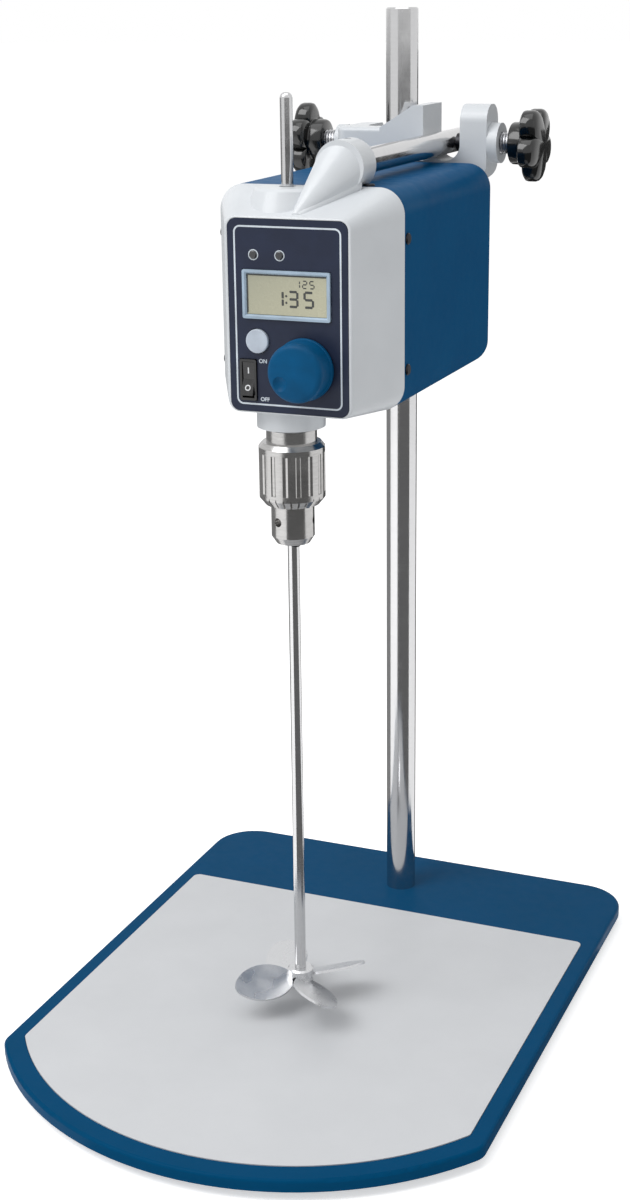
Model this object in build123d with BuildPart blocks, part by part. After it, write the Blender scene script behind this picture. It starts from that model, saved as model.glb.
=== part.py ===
from build123d import *
import os
from math import acos, cos, pi, radians, sin, sqrt, tan

# Overhead stirrer on a plate stand. Millimetres. +Z is up and the control panel faces -Y.
# The origin is on the bench under the middle of the base plate.

os.makedirs("parts", exist_ok=True)

# Clearances and fits
running_fit = 0.05
seat_gap = 0.3
panel_gap = 0.2
thread_gap = 0.1
clamp_thread_gap = 0.2

# Stand: plate, work surface, feet and pole
foot_height = 6.0
foot_diameter = 20.0
foot_side_inset = 21.0
foot_front_inset = 82.0
foot_rear_inset = 27.0
foot_screw_diameter = 4.0
plate_width = 290.0
plate_length = 390.0
plate_thickness = 7.0
front_arc_radius = 176.6
plate_rear_corner = 28.0
plate_front_corner = 12.0
plate_edge_round = 1.8
surface_side_margin = 9.5
surface_front_margin = 12.0
surface_rear_strip = 81.0
surface_corner = 4.0
surface_thickness = 1.4
surface_recess = 1.0
pole_diameter = 19.0
pole_inset = 44.0
pole_bolt_diameter = 10.0
pole_bolt_grip = 26.0
pole_bolt_head = 17.0
pole_bolt_head_height = 3.6
pole_washer_diameter = 24.0
pole_washer_thickness = 1.5

# Support rod and clamp, all on the height of the rod
rod_height = 501.0
pole_above_rod = 76.0
rod_diameter = 13.5
rod_x = 28.0
rod_behind_pole = 38.0
hook_depth = 22.0
hook_drop = 22.0
hook_rise = 22.0
hook_floor = 12.0
rod_slot_width = 18.7
rod_arm_thickness = 16.3
pole_slot_half = 20.0
pole_arm_thickness = 14.0
pole_arm_length = 44.0
pole_arm_height = 18.6
arm_boss_diameter = 23.0
rod_boss_length = 6.0
pole_boss_length = 6.0
fin_width = 9.5
fin_foot_x = -6.0

# Clamping screws, their pads and star knobs
screw_diameter = 12.0
screw_tip_bore = 5.0
screw_tip_depth = 5.0
pad_diameter = 10.4
pad_thickness = 3.0
rod_screw_reach = 33.0
pole_screw_reach = 38.0
knob_hub_diameter = 24.0
knob_hub_length = 8.0
star_diameter = 41.0
star_thickness = 17.0
star_lobes = 5
star_lobe_width = 11.0
screw_grip = 14.0

# Head: housing, cover and their seam
pole_gap = 7.5
head_x = 10.0
head_width = 104.0
head_height = 116.0
rod_rise = 10.0
head_corner = 14.0
wall = 3.0
seam_offset = 7.0
face_offset = 25.0
face_width = 70.0
face_height = 102.0
face_lift = 1.0
face_corner = 6.5
face_edge_round = 1.2
cover_length = 148.0
cover_wall = 2.5
cover_edge_round = 5.0
lip_length = 8.0
lip_wall = 2.4
seam_flare = 1.0
shaft_boss_diameter = 35.0
shaft_boss_foot = 44.0
shaft_boss_height = 13.0
shaft_boss_round = 1.5
top_hole_diameter = 9.0
collar_diameter = 37.0
collar_drop = 10.0
collar_rise = 6.0
collar_hole_diameter = 17.0
rod_boss_diameter = 27.0
rod_boss_overhang = 13.0
rod_boss_depth = 3.0
rod_seat_depth = 13.0
ridge_tip_x = 13.0
ridge_tip_radius = 2.0
ridge_tip_inset = 3.0
small_ridge_radius = 5.0
cover_screw_diameter = 3.0
cover_screw_head = 6.0
cover_screw_setback = 4.0
upper_screw_drop = 26.0
lower_screw_rise = 22.0
top_screw_offset = 31.0
vent_count = 5
vent_length = 40.0
vent_width = 3.0
vent_pitch = 7.0
vent_drop = 30.0
set_screw_diameter = 4.0
set_screw_length = 7.0

# Control panel, measured from its upper left corner
panel_width = 66.7
panel_height = 100.0
panel_corner = 5.0
panel_thickness = 0.8
panel_recess = 0.6
light_spots = [(14.5, 18.3), (29.2, 18.3)]
light_diameter = 4.5
display_left = 8.3
display_drop = 25.8
display_width = 48.9
display_height = 25.2
display_frame = 2.3
display_frame_proud = 1.2
display_glass_thickness = 1.0
button_spot = (16.1, 62.7)
button_diameter = 12.6
button_proud = 1.6
button_travel = 0.6
switch_spot = (10.5, 83.3)
switch_width = 9.4
switch_height = 21.7
switch_rim = 1.3
switch_depth = 7.5
switch_proud = 1.1
rocker_tilt = 8.0
knob_spot = (42.7, 75.8)
knob_diameter = 32.5
knob_length = 15.0
knob_grip_flutes = 18
knob_gap = 0.8
dimple_diameter = 9.0
dimple_radius = 10.0
encoder_shaft_diameter = 6.0
encoder_size = 13.0
encoder_depth = 7.0

# Boards behind the panel
board_setback = 11.0
board_width = 62.0
board_height = 66.0
board_thickness = 1.6
board_boss_diameter = 6.0
board_screw_diameter = 2.5
board_boss_spots = [(-28.5, -15.5), (28.5, -15.5), (-28.5, 40.0), (28.5, 40.0)]

# Drive: gears, bearings, spindle and motor
gear_module = 1.0
spindle_teeth = 28
idler_teeth = 22
pinion_teeth = 14
tooth_slack = 0.08
gear_face = 6.0
gear_lift = 6.0
gear_plate_lift = 18.0
gear_plate_thickness = 4.0
gear_plate_width = 84.0
gear_plate_corner = 4.0
gear_plate_before_spindle = 8.0
gear_plate_behind_motor = 28.0
rear_pillar_behind_motor = 20.0
pillar_diameter = 7.0
pillar_spread = 35.0
pillar_inset = 7.0
motor_diameter = 52.0
motor_length = 68.0
motor_shaft_diameter = 5.0
motor_screw_circle = 40.0
motor_screw_diameter = 3.0
idler_stud_diameter = 6.0
spindle_diameter = 12.0
spindle_bore = 8.0
bearing_width = 8.0
lower_bearing_diameter = 26.0
upper_bearing_diameter = 22.0
bearing_lip = 1.8
upper_bearing_drop = 8.0

# Power inlet and supply
inlet_x = 36.0
inlet_rise = 30.0
inlet_body = (27.0, 19.8)
inlet_flange = (31.0, 24.0)
inlet_flange_thickness = 2.4
inlet_recess = (24.0, 16.4)
inlet_recess_depth = 17.0
inlet_depth = 21.0
inlet_pin = (2.0, 4.0)
inlet_pin_length = 12.0
inlet_pin_pitch = 7.0
supply_front_gap = 38.0
supply_rear_gap = 5.0
supply_height = 66.0
supply_spacer = 4.0
supply_spacer_inset = 5.0
transformer_size = (30.0, 26.0, 20.0)
transformer_place = (18.0, -8.0)
capacitor_diameter = 14.0
capacitor_height = 16.0
capacitor_places = [(-14.0, 12.0), (-14.0, -12.0)]

# Chuck
chuck_length = 64.5
collar_clearance = 0.5
nose_diameter = 23.7
nose_bevel = 4.0
nose_length = 22.0
neck_diameter = 27.5
sleeve_diameter = 36.0
sleeve_length = 28.0
sleeve_bevel = 4.0
sleeve_top_bevel = 2.5
sleeve_teeth = 26
sleeve_flutes = 16
flute_diameter = 5.0
flute_depth = 0.5
chuck_bore = 11.0
chuck_mouth = 7.6
key_hole_diameter = 5.0
key_hole_depth = 4.6
key_hole_height = 13.0
first_key_hole_angle = 249.0
jaw_count = 3
jaw_angle = 12.0
jaw_diameter = 5.6
jaw_length = 34.0
jaw_offset = 0.5
jaw_opening_travel = 6.0
jaw_reach = 1.0
nut_height = 7.0
nut_wall = 1.4

# Stirring shaft and propeller
shaft_diameter = 6.5
shaft_top = 538.0
propeller_height = 20.0
hub_diameter = 15.0
hub_length = 12.0
blade_count = 4
propeller_diameter = 84.0
blade_width = 24.0
blade_root_width = 9.0
blade_thickness = 1.5
blade_pitch = 24.0
blade_tip_round = 7.0

# Heights and depths that follow
plate_top = foot_height + plate_thickness
surface_top = plate_top - surface_recess + surface_thickness
pole_radius = pole_diameter / 2
pole_y = plate_length / 2 - pole_inset
pole_top = rod_height + pole_above_rod
rod_rear_y = pole_y + rod_behind_pole
rod_radius = rod_diameter / 2
head_top = rod_height - rod_rise
head_bottom = head_top - head_height
head_z = (head_top + head_bottom) / 2
cover_rear = pole_y - pole_radius - pole_gap
seam_y = cover_rear - cover_length
shaft_y = seam_y - seam_offset
face_y = shaft_y - face_offset
face_z = head_bottom + face_lift + face_height / 2
panel_left = head_x - panel_width / 2
panel_top = face_z + panel_height / 2
panel_front = face_y + panel_recess - panel_thickness
wall_back = face_y + wall
board_front = wall_back + board_setback
board_back = board_front + board_thickness
collar_bottom = head_bottom - collar_drop
gear_bottom = head_bottom + gear_lift
gear_plate_bottom = head_bottom + gear_plate_lift
gear_plate_top = gear_plate_bottom + gear_plate_thickness
idler_y = shaft_y + gear_module * (spindle_teeth + idler_teeth) / 2
motor_y = idler_y + gear_module * (idler_teeth + pinion_teeth) / 2
chuck_top = collar_bottom - collar_clearance
chuck_nose = chuck_top - chuck_length
sleeve_tip = chuck_nose + nose_length
sleeve_bottom = sleeve_tip + sleeve_bevel
sleeve_top = sleeve_bottom + sleeve_length
shaft_radius = shaft_diameter / 2
stirring_axis = Axis((0, shaft_y, 0), (0, 0, 1))


def front_plane(y):
    """Plane at depth y that faces the front; its own axes are X and Z."""
    return Plane.XZ.offset(-y)


def side_plane(x):
    """Plane at x that faces right; its own axes are Y and Z."""
    return Plane.YZ.offset(x)


def level_plane(z):
    """Plane at height z that faces up; its own axes are X and Y."""
    return Plane.XY.offset(z)


def disc(plane, centre, diameter):
    """Round face on a plane."""
    with BuildSketch(plane) as face:
        with Locations(centre):
            Circle(diameter / 2)
    return face.sketch


def hexagon(plane, centre, across_flats):
    """Hexagonal face on a plane."""
    with BuildSketch(plane) as face:
        with Locations(centre):
            RegularPolygon(across_flats / 2, 6, major_radius=False)
    return face.sketch


def block(plane, centre, width, height, corner=0.0):
    """Rectangular face on a plane, with rounded corners where a radius is given."""
    with BuildSketch(plane) as face:
        with Locations(centre):
            if corner:
                RectangleRounded(width, height, corner)
            else:
                Rectangle(width, height)
    return face.sketch


def outline(plane, points):
    """Face bounded by straight runs between the points."""
    with BuildSketch(plane) as face:
        with BuildLine():
            Polyline(*points, close=True)
        make_face()
    return face.sketch


def turned(points):
    """Solid turned about the stirring axis from (radius, height) points."""
    return revolve(outline(front_plane(shaft_y), points), axis=stirring_axis, mode=Mode.PRIVATE)


def on_panel(spot):
    """Place on the front of the head of a spot measured from the panel's upper left corner."""
    return (panel_left + spot[0], panel_top - spot[1])


def plate_outline(plane, half_width, front, rear, arc_radius, rear_corner, front_corner):
    """Plate with straight sides and a round front."""
    side_front = front + arc_radius - sqrt(arc_radius**2 - half_width**2)
    with BuildSketch(plane) as face:
        with BuildLine():
            Polyline((-half_width, side_front), (-half_width, rear), (half_width, rear),
                     (half_width, side_front))
            ThreePointArc((half_width, side_front), (0, front), (-half_width, side_front))
        make_face()
        fillet(face.vertices().sort_by(Axis.Y)[2:], rear_corner)
        fillet(face.vertices().sort_by(Axis.Y)[:2], front_corner)
    return face.sketch


# Base plate with a shallow recess for the work surface
plate_front = -plate_length / 2
plate_rear = plate_length / 2
foot_spread = plate_width / 2 - foot_side_inset
foot_spots = [(x, y) for x in (-foot_spread, foot_spread)
              for y in (foot_front_inset - plate_length / 2, plate_length / 2 - foot_rear_inset)]
surface_half_width = plate_width / 2 - surface_side_margin
surface_front = plate_front + surface_front_margin
surface_rear = plate_rear - surface_rear_strip
surface_arc_radius = front_arc_radius - surface_front_margin
with BuildPart() as base_plate:
    extrude(plate_outline(level_plane(foot_height), plate_width / 2, plate_front, plate_rear,
                          front_arc_radius, plate_rear_corner, plate_front_corner),
            amount=plate_thickness)
    fillet(base_plate.faces().sort_by(Axis.Z)[-1].outer_wire().edges(), plate_edge_round)
    extrude(plate_outline(level_plane(plate_top), surface_half_width, surface_front, surface_rear,
                          surface_arc_radius, surface_corner, surface_corner),
            amount=-surface_recess, mode=Mode.SUBTRACT)
    extrude(disc(level_plane(foot_height), (0, pole_y), pole_bolt_diameter + 2 * thread_gap),
            amount=plate_thickness, mode=Mode.SUBTRACT)
    for spot in foot_spots:
        extrude(disc(level_plane(foot_height), spot, foot_screw_diameter + 2 * thread_gap),
                amount=plate_thickness - surface_recess - 1, mode=Mode.SUBTRACT)
base_plate.part.label = "base_plate"
export_step(base_plate.part, "parts/base_plate.step")

with BuildPart() as work_surface:
    extrude(plate_outline(level_plane(plate_top - surface_recess), surface_half_width - seat_gap,
                          surface_front + seat_gap, surface_rear - seat_gap,
                          surface_arc_radius - seat_gap, surface_corner, surface_corner),
            amount=surface_thickness)
work_surface.part.label = "work_surface"
export_step(work_surface.part, "parts/work_surface.step")

# Rubber feet, each screwed up into the plate
foot_head_recess = 2.6
foot_screw_head = 8.0
foot_screw_head_height = 2.0
with BuildPart() as rubber_feet:
    for spot in foot_spots:
        with Locations((spot[0], spot[1], foot_height)):
            Cone(foot_diameter / 2 - 1, foot_diameter / 2, foot_height,
                 align=(Align.CENTER, Align.CENTER, Align.MAX))
        extrude(disc(level_plane(0), spot, foot_screw_head + 1), amount=foot_head_recess,
                mode=Mode.SUBTRACT)
        extrude(disc(level_plane(0), spot, foot_screw_diameter + 2 * thread_gap),
                amount=foot_height, mode=Mode.SUBTRACT)
rubber_feet.part.label = "rubber_feet"
export_step(rubber_feet.part, "parts/rubber_feet.step")

with BuildPart() as foot_screws:
    for spot in foot_spots:
        extrude(disc(level_plane(foot_head_recess), spot, foot_screw_head),
                amount=-foot_screw_head_height)
        extrude(disc(level_plane(foot_head_recess), spot, foot_screw_diameter),
                amount=foot_height - foot_head_recess + plate_thickness - surface_recess - 1.5)
foot_screws.part.label = "foot_screws"
export_step(foot_screws.part, "parts/foot_screws.step")

# Pole, bolted from beneath
with BuildPart() as pole:
    extrude(disc(level_plane(plate_top), (0, pole_y), pole_diameter), amount=pole_top - plate_top)
    chamfer(pole.faces().sort_by(Axis.Z)[-1].edges(), 0.8)
    extrude(disc(level_plane(plate_top), (0, pole_y), pole_bolt_diameter + 2 * thread_gap),
            amount=pole_bolt_grip + 1, mode=Mode.SUBTRACT)
pole.part.label = "pole"
export_step(pole.part, "parts/pole.step")

with BuildPart() as pole_washer:
    extrude(disc(level_plane(foot_height), (0, pole_y), pole_washer_diameter),
            amount=-pole_washer_thickness)
    extrude(disc(level_plane(foot_height), (0, pole_y), pole_bolt_diameter + 2 * thread_gap),
            amount=-pole_washer_thickness, mode=Mode.SUBTRACT)
pole_washer.part.label = "pole_washer"
export_step(pole_washer.part, "parts/pole_washer.step")

bolt_seat = foot_height - pole_washer_thickness
with BuildPart() as pole_bolt:
    extrude(hexagon(level_plane(bolt_seat), (0, pole_y), pole_bolt_head),
            amount=-pole_bolt_head_height)
    extrude(disc(level_plane(bolt_seat), (0, pole_y), pole_bolt_diameter),
            amount=pole_washer_thickness + plate_thickness + pole_bolt_grip)
pole_bolt.part.label = "pole_bolt"
export_step(pole_bolt.part, "parts/pole_bolt.step")

# Clamp body: a hook open at the rear holds the pole, a hook open at the top holds the rod
web_left = pole_radius + seat_gap
web_right = rod_x - rod_radius - seat_gap
rod_arm_left = web_right + rod_slot_width
rod_arm_right = rod_arm_left + rod_arm_thickness
pole_arm_right = -pole_slot_half
pole_arm_left = pole_arm_right - pole_arm_thickness
pole_arm_front = pole_y - pole_arm_length / 2
pole_arm_rear = pole_y + pole_arm_length / 2
pole_pocket_front = pole_y - pole_radius - seat_gap
hook_front = pole_y - hook_depth / 2
hook_bottom = rod_height - hook_drop
hook_top = rod_height + hook_rise
arm_bottom = rod_height - pole_arm_height / 2
arm_top = rod_height + pole_arm_height / 2
fin_left = web_right - fin_width
rod_slot_x = (web_right + rod_arm_left) / 2
with BuildPart() as clamp_body:
    with BuildSketch(level_plane(arm_bottom)) as pole_hook:
        with BuildLine():
            Polyline((web_right, pole_arm_front), (web_right, pole_y + hook_depth / 2),
                     (web_left, pole_y + hook_depth / 2), (web_left, pole_pocket_front),
                     (pole_arm_right, pole_pocket_front), (pole_arm_right, pole_arm_rear),
                     (pole_arm_left, pole_arm_rear), (pole_arm_left, pole_arm_front), close=True)
        make_face()
        fillet(pole_hook.vertices().group_by(Axis.X)[0], 6)
        fillet(pole_hook.vertices().filter_by_position(Axis.X, pole_arm_right - 0.1,
                                                       pole_arm_right + 0.1)
               .sort_by(Axis.Y)[:1], 8)
    extrude(amount=pole_arm_height)
    fillet(clamp_body.faces().filter_by(Axis.Z).edges().filter_by_position(
        Axis.X, pole_arm_left - 1, pole_arm_left + 0.1), 2.5)
    with BuildSketch(front_plane(hook_front)) as rod_hook:
        with BuildLine():
            Polyline((web_left, hook_bottom), (web_left, arm_top), (fin_left, hook_top - 2),
                     (fin_left + 3, hook_top), (web_right, hook_top),
                     (web_right, hook_bottom + hook_floor),
                     (rod_arm_left, hook_bottom + hook_floor), (rod_arm_left, hook_top),
                     (rod_arm_right, hook_top), (rod_arm_right, hook_bottom), close=True)
        make_face()
        slot_corners = rod_hook.vertices().group_by(Axis.Y)[1]
        fillet(slot_corners, rod_slot_width / 2 - 0.1)
        fillet(rod_hook.vertices().group_by(Axis.Y)[0], 10)
    extrude(amount=-hook_depth)
    arm_edges = clamp_body.edges().filter_by(Axis.X).filter_by_position(
        Axis.X, rod_arm_left, rod_arm_right)
    fillet(arm_edges.group_by(Axis.Z)[-1], hook_depth / 2 - 1.2)
    extrude(outline(front_plane(pole_arm_front),
                    [(web_right, arm_bottom), (web_right, hook_top), (fin_left + 3, hook_top),
                     (fin_left, hook_top - 2), (fin_foot_x, arm_top), (fin_foot_x, arm_bottom)]),
            amount=-(pole_pocket_front - pole_arm_front))
    extrude(disc(side_plane(rod_arm_right), (pole_y, rod_height), arm_boss_diameter),
            amount=rod_boss_length)
    extrude(disc(side_plane(pole_arm_left), (pole_y, rod_height), pole_arm_height),
            amount=-pole_boss_length)
    # Threaded bores, drilled right through from the slots
    extrude(disc(side_plane(rod_slot_x), (pole_y, rod_height), screw_diameter + 2 * clamp_thread_gap),
            amount=rod_slot_width / 2 + rod_arm_thickness + rod_boss_length + 1, mode=Mode.SUBTRACT)
    extrude(disc(side_plane(-pole_radius), (pole_y, rod_height), screw_diameter + 2 * clamp_thread_gap),
            amount=-(pole_slot_half - pole_radius + pole_arm_thickness + pole_boss_length + 1),
            mode=Mode.SUBTRACT)
clamp_body.part.label = "clamp_body"
export_step(clamp_body.part, "parts/clamp_body.step")


def clamp_pad(tip_x, outwards):
    """Swivel pad whose pin turns in the tip of its screw; outwards is 1 to the right, -1 to the left."""
    with BuildPart() as pad:
        extrude(disc(side_plane(tip_x), (pole_y, rod_height), pad_diameter),
                amount=outwards * pad_thickness)
        extrude(disc(side_plane(tip_x), (pole_y, rod_height), screw_tip_bore - 2 * running_fit),
                amount=outwards * (pad_thickness + screw_tip_depth - 0.5))
    return pad.part


def clamp_screw(tip_x, outwards, reach):
    """Screw with a blind bore in its tip, long enough to be held in its knob."""
    start = tip_x + outwards * (pad_thickness + seat_gap)
    with BuildPart() as screw:
        extrude(disc(side_plane(start), (pole_y, rod_height), screw_diameter),
                amount=outwards * (reach - pad_thickness - seat_gap + screw_grip))
        chamfer(screw.faces().filter_by(Axis.X).edges(), 0.8)
        extrude(disc(side_plane(start), (pole_y, rod_height), screw_tip_bore),
                amount=outwards * screw_tip_depth, mode=Mode.SUBTRACT)
    return screw.part


def clamp_knob(tip_x, outwards, reach):
    """Star knob moulded on the end of its screw."""
    hub_x = tip_x + outwards * reach
    star_x = hub_x + outwards * knob_hub_length
    lobe_centre = (star_diameter - star_lobe_width) / 2
    with BuildPart() as knob:
        extrude(disc(side_plane(hub_x), (pole_y, rod_height), knob_hub_diameter),
                amount=outwards * knob_hub_length)
        with BuildSketch(side_plane(star_x)) as star:
            with Locations((pole_y, rod_height)):
                with PolarLocations(lobe_centre / 2, star_lobes, start_angle=90):
                    SlotCenterToCenter(lobe_centre, star_lobe_width)
            hollows = star.vertices().sort_by_distance((pole_y, rod_height, 0))[:star_lobes]
            fillet(hollows, 2.5)
        extrude(amount=outwards * star_thickness)
        fillet(knob.faces().filter_by(Axis.X).sort_by(Axis.X)[-1 if outwards > 0 else 0].edges(), 2)
        extrude(disc(side_plane(hub_x), (pole_y, rod_height), screw_diameter + 2 * running_fit),
                amount=outwards * (screw_grip + 0.5), mode=Mode.SUBTRACT)
    return knob.part


pole_tip = -pole_radius - seat_gap
rod_tip = rod_x + rod_radius + seat_gap
with BuildPart() as pole_clamp_pad:
    add(clamp_pad(pole_tip, -1))
pole_clamp_pad.part.label = "pole_clamp_pad"
export_step(pole_clamp_pad.part, "parts/pole_clamp_pad.step")

with BuildPart() as pole_clamp_screw:
    add(clamp_screw(pole_tip, -1, pole_screw_reach))
pole_clamp_screw.part.label = "pole_clamp_screw"
export_step(pole_clamp_screw.part, "parts/pole_clamp_screw.step")

with BuildPart() as pole_clamp_knob:
    add(clamp_knob(pole_tip, -1, pole_screw_reach))
pole_clamp_knob.part.label = "pole_clamp_knob"
export_step(pole_clamp_knob.part, "parts/pole_clamp_knob.step")

with BuildPart() as rod_clamp_pad:
    add(clamp_pad(rod_tip, 1))
rod_clamp_pad.part.label = "rod_clamp_pad"
export_step(rod_clamp_pad.part, "parts/rod_clamp_pad.step")

with BuildPart() as rod_clamp_screw:
    add(clamp_screw(rod_tip, 1, rod_screw_reach))
rod_clamp_screw.part.label = "rod_clamp_screw"
export_step(rod_clamp_screw.part, "parts/rod_clamp_screw.step")

with BuildPart() as rod_clamp_knob:
    add(clamp_knob(rod_tip, 1, rod_screw_reach))
rod_clamp_knob.part.label = "rod_clamp_knob"
export_step(rod_clamp_knob.part, "parts/rod_clamp_knob.step")

# Support rod, seated in the boss of the housing and held by two set screws
rod_boss_rear = seam_y + rod_boss_overhang
rod_boss_front = seam_y - rod_boss_depth
rod_front = rod_boss_rear - rod_seat_depth
with BuildPart() as support_rod:
    extrude(disc(front_plane(rod_front), (rod_x, rod_height), rod_diameter),
            amount=-(rod_rear_y - rod_front))
    chamfer(support_rod.faces().filter_by(Axis.Y).edges(), 0.6)
support_rod.part.label = "support_rod"
export_step(support_rod.part, "parts/support_rod.step")

set_screw_y = (rod_front + rod_boss_rear) / 2
with BuildPart() as rod_set_screws:
    for angle in (90, 180):
        turn = radians(angle)
        direction = Vector(cos(turn), 0, sin(turn))
        start = Vector(rod_x, set_screw_y, rod_height) + direction * (rod_radius + thread_gap)
        extrude(disc(Plane(start, x_dir=(0, 1, 0), z_dir=direction), (0, 0), set_screw_diameter),
                amount=set_screw_length - 1)
        extrude(hexagon(Plane(start + direction * (set_screw_length - 1), x_dir=(0, 1, 0),
                              z_dir=direction), (0, 0), 2.0), amount=-2, mode=Mode.SUBTRACT)
rod_set_screws.part.label = "rod_set_screws"
export_step(rod_set_screws.part, "parts/rod_set_screws.step")

# Front housing: a flared casting with the neck collar, the shaft boss and the rod boss
lip_width = head_width - 2 * (cover_wall + panel_gap)
lip_height = head_height - 2 * (cover_wall + panel_gap)
lip_corner = head_corner - cover_wall - panel_gap
bearing_seat_top = collar_bottom + bearing_lip + bearing_width
upper_bearing_top = head_top - upper_bearing_drop
upper_bearing_bottom = upper_bearing_top - bearing_width
tool_edge = 0.01
front_pillar_spots = [(head_x - pillar_spread, seam_y - pillar_inset),
                      (head_x + pillar_spread, seam_y - pillar_inset)]


def rod_boss():
    """Round boss of the rod, flat underneath where it stands out over the cover."""
    with BuildPart() as boss:
        extrude(disc(front_plane(rod_boss_front - 2), (rod_x, rod_height), rod_boss_diameter),
                amount=-(rod_boss_rear - rod_boss_front + 2))
        extrude(block(front_plane(seam_y), (rod_x, head_top - rod_boss_diameter + seat_gap),
                      3 * rod_boss_diameter, 2 * rod_boss_diameter),
                amount=-(rod_boss_overhang + 1), mode=Mode.SUBTRACT)
    return boss.part


with BuildPart() as front_housing:
    loft([block(front_plane(face_y), (head_x, face_z), face_width, face_height, face_corner),
          block(front_plane(seam_y), (head_x, head_z), head_width, head_height, head_corner)])
    fillet(front_housing.faces().sort_by(Axis.Y)[0].edges(), face_edge_round)
    add(turned([(0, head_top - shaft_boss_height), (shaft_boss_foot / 2, head_top - shaft_boss_height),
                (shaft_boss_diameter / 2, head_top - shaft_boss_round),
                (shaft_boss_diameter / 2 - shaft_boss_round, head_top), (0, head_top)]))
    loft([disc(front_plane(face_y + ridge_tip_inset), (ridge_tip_x, face_z + face_height / 2),
               2 * ridge_tip_radius),
          disc(front_plane(rod_boss_front), (rod_x, rod_height), rod_boss_diameter)])
    loft([disc(front_plane(face_y + ridge_tip_inset), (ridge_tip_x + 2, face_z + face_height / 2),
               2 * ridge_tip_radius),
          disc(front_plane(rod_boss_front), (rod_x + rod_radius, head_top + 1),
               2 * small_ridge_radius)])
    # Everything so far ends at the seam, and the inside follows the outside
    extrude(block(front_plane(seam_y), (head_x, rod_height), 3 * head_width, 3 * head_height),
            amount=-head_width, mode=Mode.SUBTRACT)
    loft([block(front_plane(wall_back), (head_x, face_z), face_width - 2 * wall,
                face_height - 2 * wall, face_corner - wall),
          block(front_plane(seam_y + tool_edge), (head_x, head_z), head_width - 2 * wall,
                head_height - 2 * wall, head_corner - wall)], mode=Mode.SUBTRACT)
    # Lip that the cover slides over
    with BuildSketch(front_plane(seam_y - wall)):
        with Locations((head_x, head_z)):
            RectangleRounded(lip_width, lip_height, lip_corner)
            RectangleRounded(lip_width - 2 * lip_wall, lip_height - 2 * lip_wall,
                             lip_corner - lip_wall, mode=Mode.SUBTRACT)
    extrude(amount=-(lip_length + wall))
    add(rod_boss())
    # Pillars of the gear plate
    for spot in front_pillar_spots:
        extrude(disc(level_plane(head_bottom + wall / 2), spot, pillar_diameter),
                amount=gear_plate_bottom - head_bottom - wall / 2)
    # Upper bearing boss under the roof, and the neck collar
    extrude(disc(level_plane(upper_bearing_bottom), (0, shaft_y), upper_bearing_diameter + 6),
            amount=head_top - cover_wall - 2 * panel_gap - upper_bearing_bottom - 1)
    extrude(disc(level_plane(collar_bottom), (0, shaft_y), collar_diameter),
            amount=collar_drop + collar_rise)
    extrude(disc(level_plane(upper_bearing_bottom), (0, shaft_y),
                 upper_bearing_diameter + 2 * running_fit), amount=bearing_width, mode=Mode.SUBTRACT)
    extrude(disc(level_plane(upper_bearing_bottom), (0, shaft_y), top_hole_diameter),
            amount=2 * upper_bearing_drop + bearing_width, mode=Mode.SUBTRACT)
    extrude(disc(level_plane(collar_bottom + bearing_lip), (0, shaft_y),
                 lower_bearing_diameter + 2 * running_fit),
            amount=collar_drop + collar_rise, mode=Mode.SUBTRACT)
    extrude(disc(level_plane(collar_bottom), (0, shaft_y), collar_hole_diameter),
            amount=bearing_lip, mode=Mode.SUBTRACT)
    # Seat of the rod and its set screws
    extrude(disc(front_plane(rod_front), (rod_x, rod_height), rod_diameter + 2 * running_fit),
            amount=-(rod_seat_depth + 1), mode=Mode.SUBTRACT)
    for angle in (90, 180):
        turn = radians(angle)
        direction = Vector(cos(turn), 0, sin(turn))
        extrude(disc(Plane((rod_x, set_screw_y, rod_height), x_dir=(0, 1, 0), z_dir=direction),
                     (0, 0), set_screw_diameter + 2 * thread_gap),
                amount=rod_boss_diameter, mode=Mode.SUBTRACT)
    # Bosses for the control board, then the cut-outs of the panel
    for spot in board_boss_spots:
        place = (head_x + spot[0], face_z + spot[1])
        extrude(disc(front_plane(wall_back - 1), place, board_boss_diameter),
                amount=-(board_setback + 1))
        extrude(disc(front_plane(board_front), place, board_screw_diameter + 2 * thread_gap),
                amount=board_setback - 2, mode=Mode.SUBTRACT)
    extrude(block(front_plane(face_y), (head_x, face_z), panel_width + 2 * panel_gap,
                  panel_height + 2 * panel_gap, panel_corner),
            amount=-panel_recess, mode=Mode.SUBTRACT)
    display_centre = on_panel((display_left + display_width / 2, display_drop + display_height / 2))
    extrude(block(front_plane(face_y - 1), display_centre, display_width + 2 * panel_gap,
                  display_height + 2 * panel_gap), amount=-(wall + 2), mode=Mode.SUBTRACT)
    extrude(block(front_plane(face_y - 1), on_panel(switch_spot), switch_width + 2 * panel_gap,
                  switch_height + 2 * panel_gap), amount=-(wall + 2), mode=Mode.SUBTRACT)
    extrude(disc(front_plane(face_y - 1), on_panel(button_spot), button_diameter + 2 * seat_gap),
            amount=-(wall + 2), mode=Mode.SUBTRACT)
    extrude(disc(front_plane(face_y - 1), on_panel(knob_spot),
                 encoder_shaft_diameter + 4), amount=-(wall + 2), mode=Mode.SUBTRACT)
    for spot in light_spots:
        extrude(disc(front_plane(face_y - 1), on_panel(spot), light_diameter + 2 * panel_gap),
                amount=-(wall + 2), mode=Mode.SUBTRACT)
front_housing.part.label = "front_housing"
export_step(front_housing.part, "parts/front_housing.step")

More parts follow.
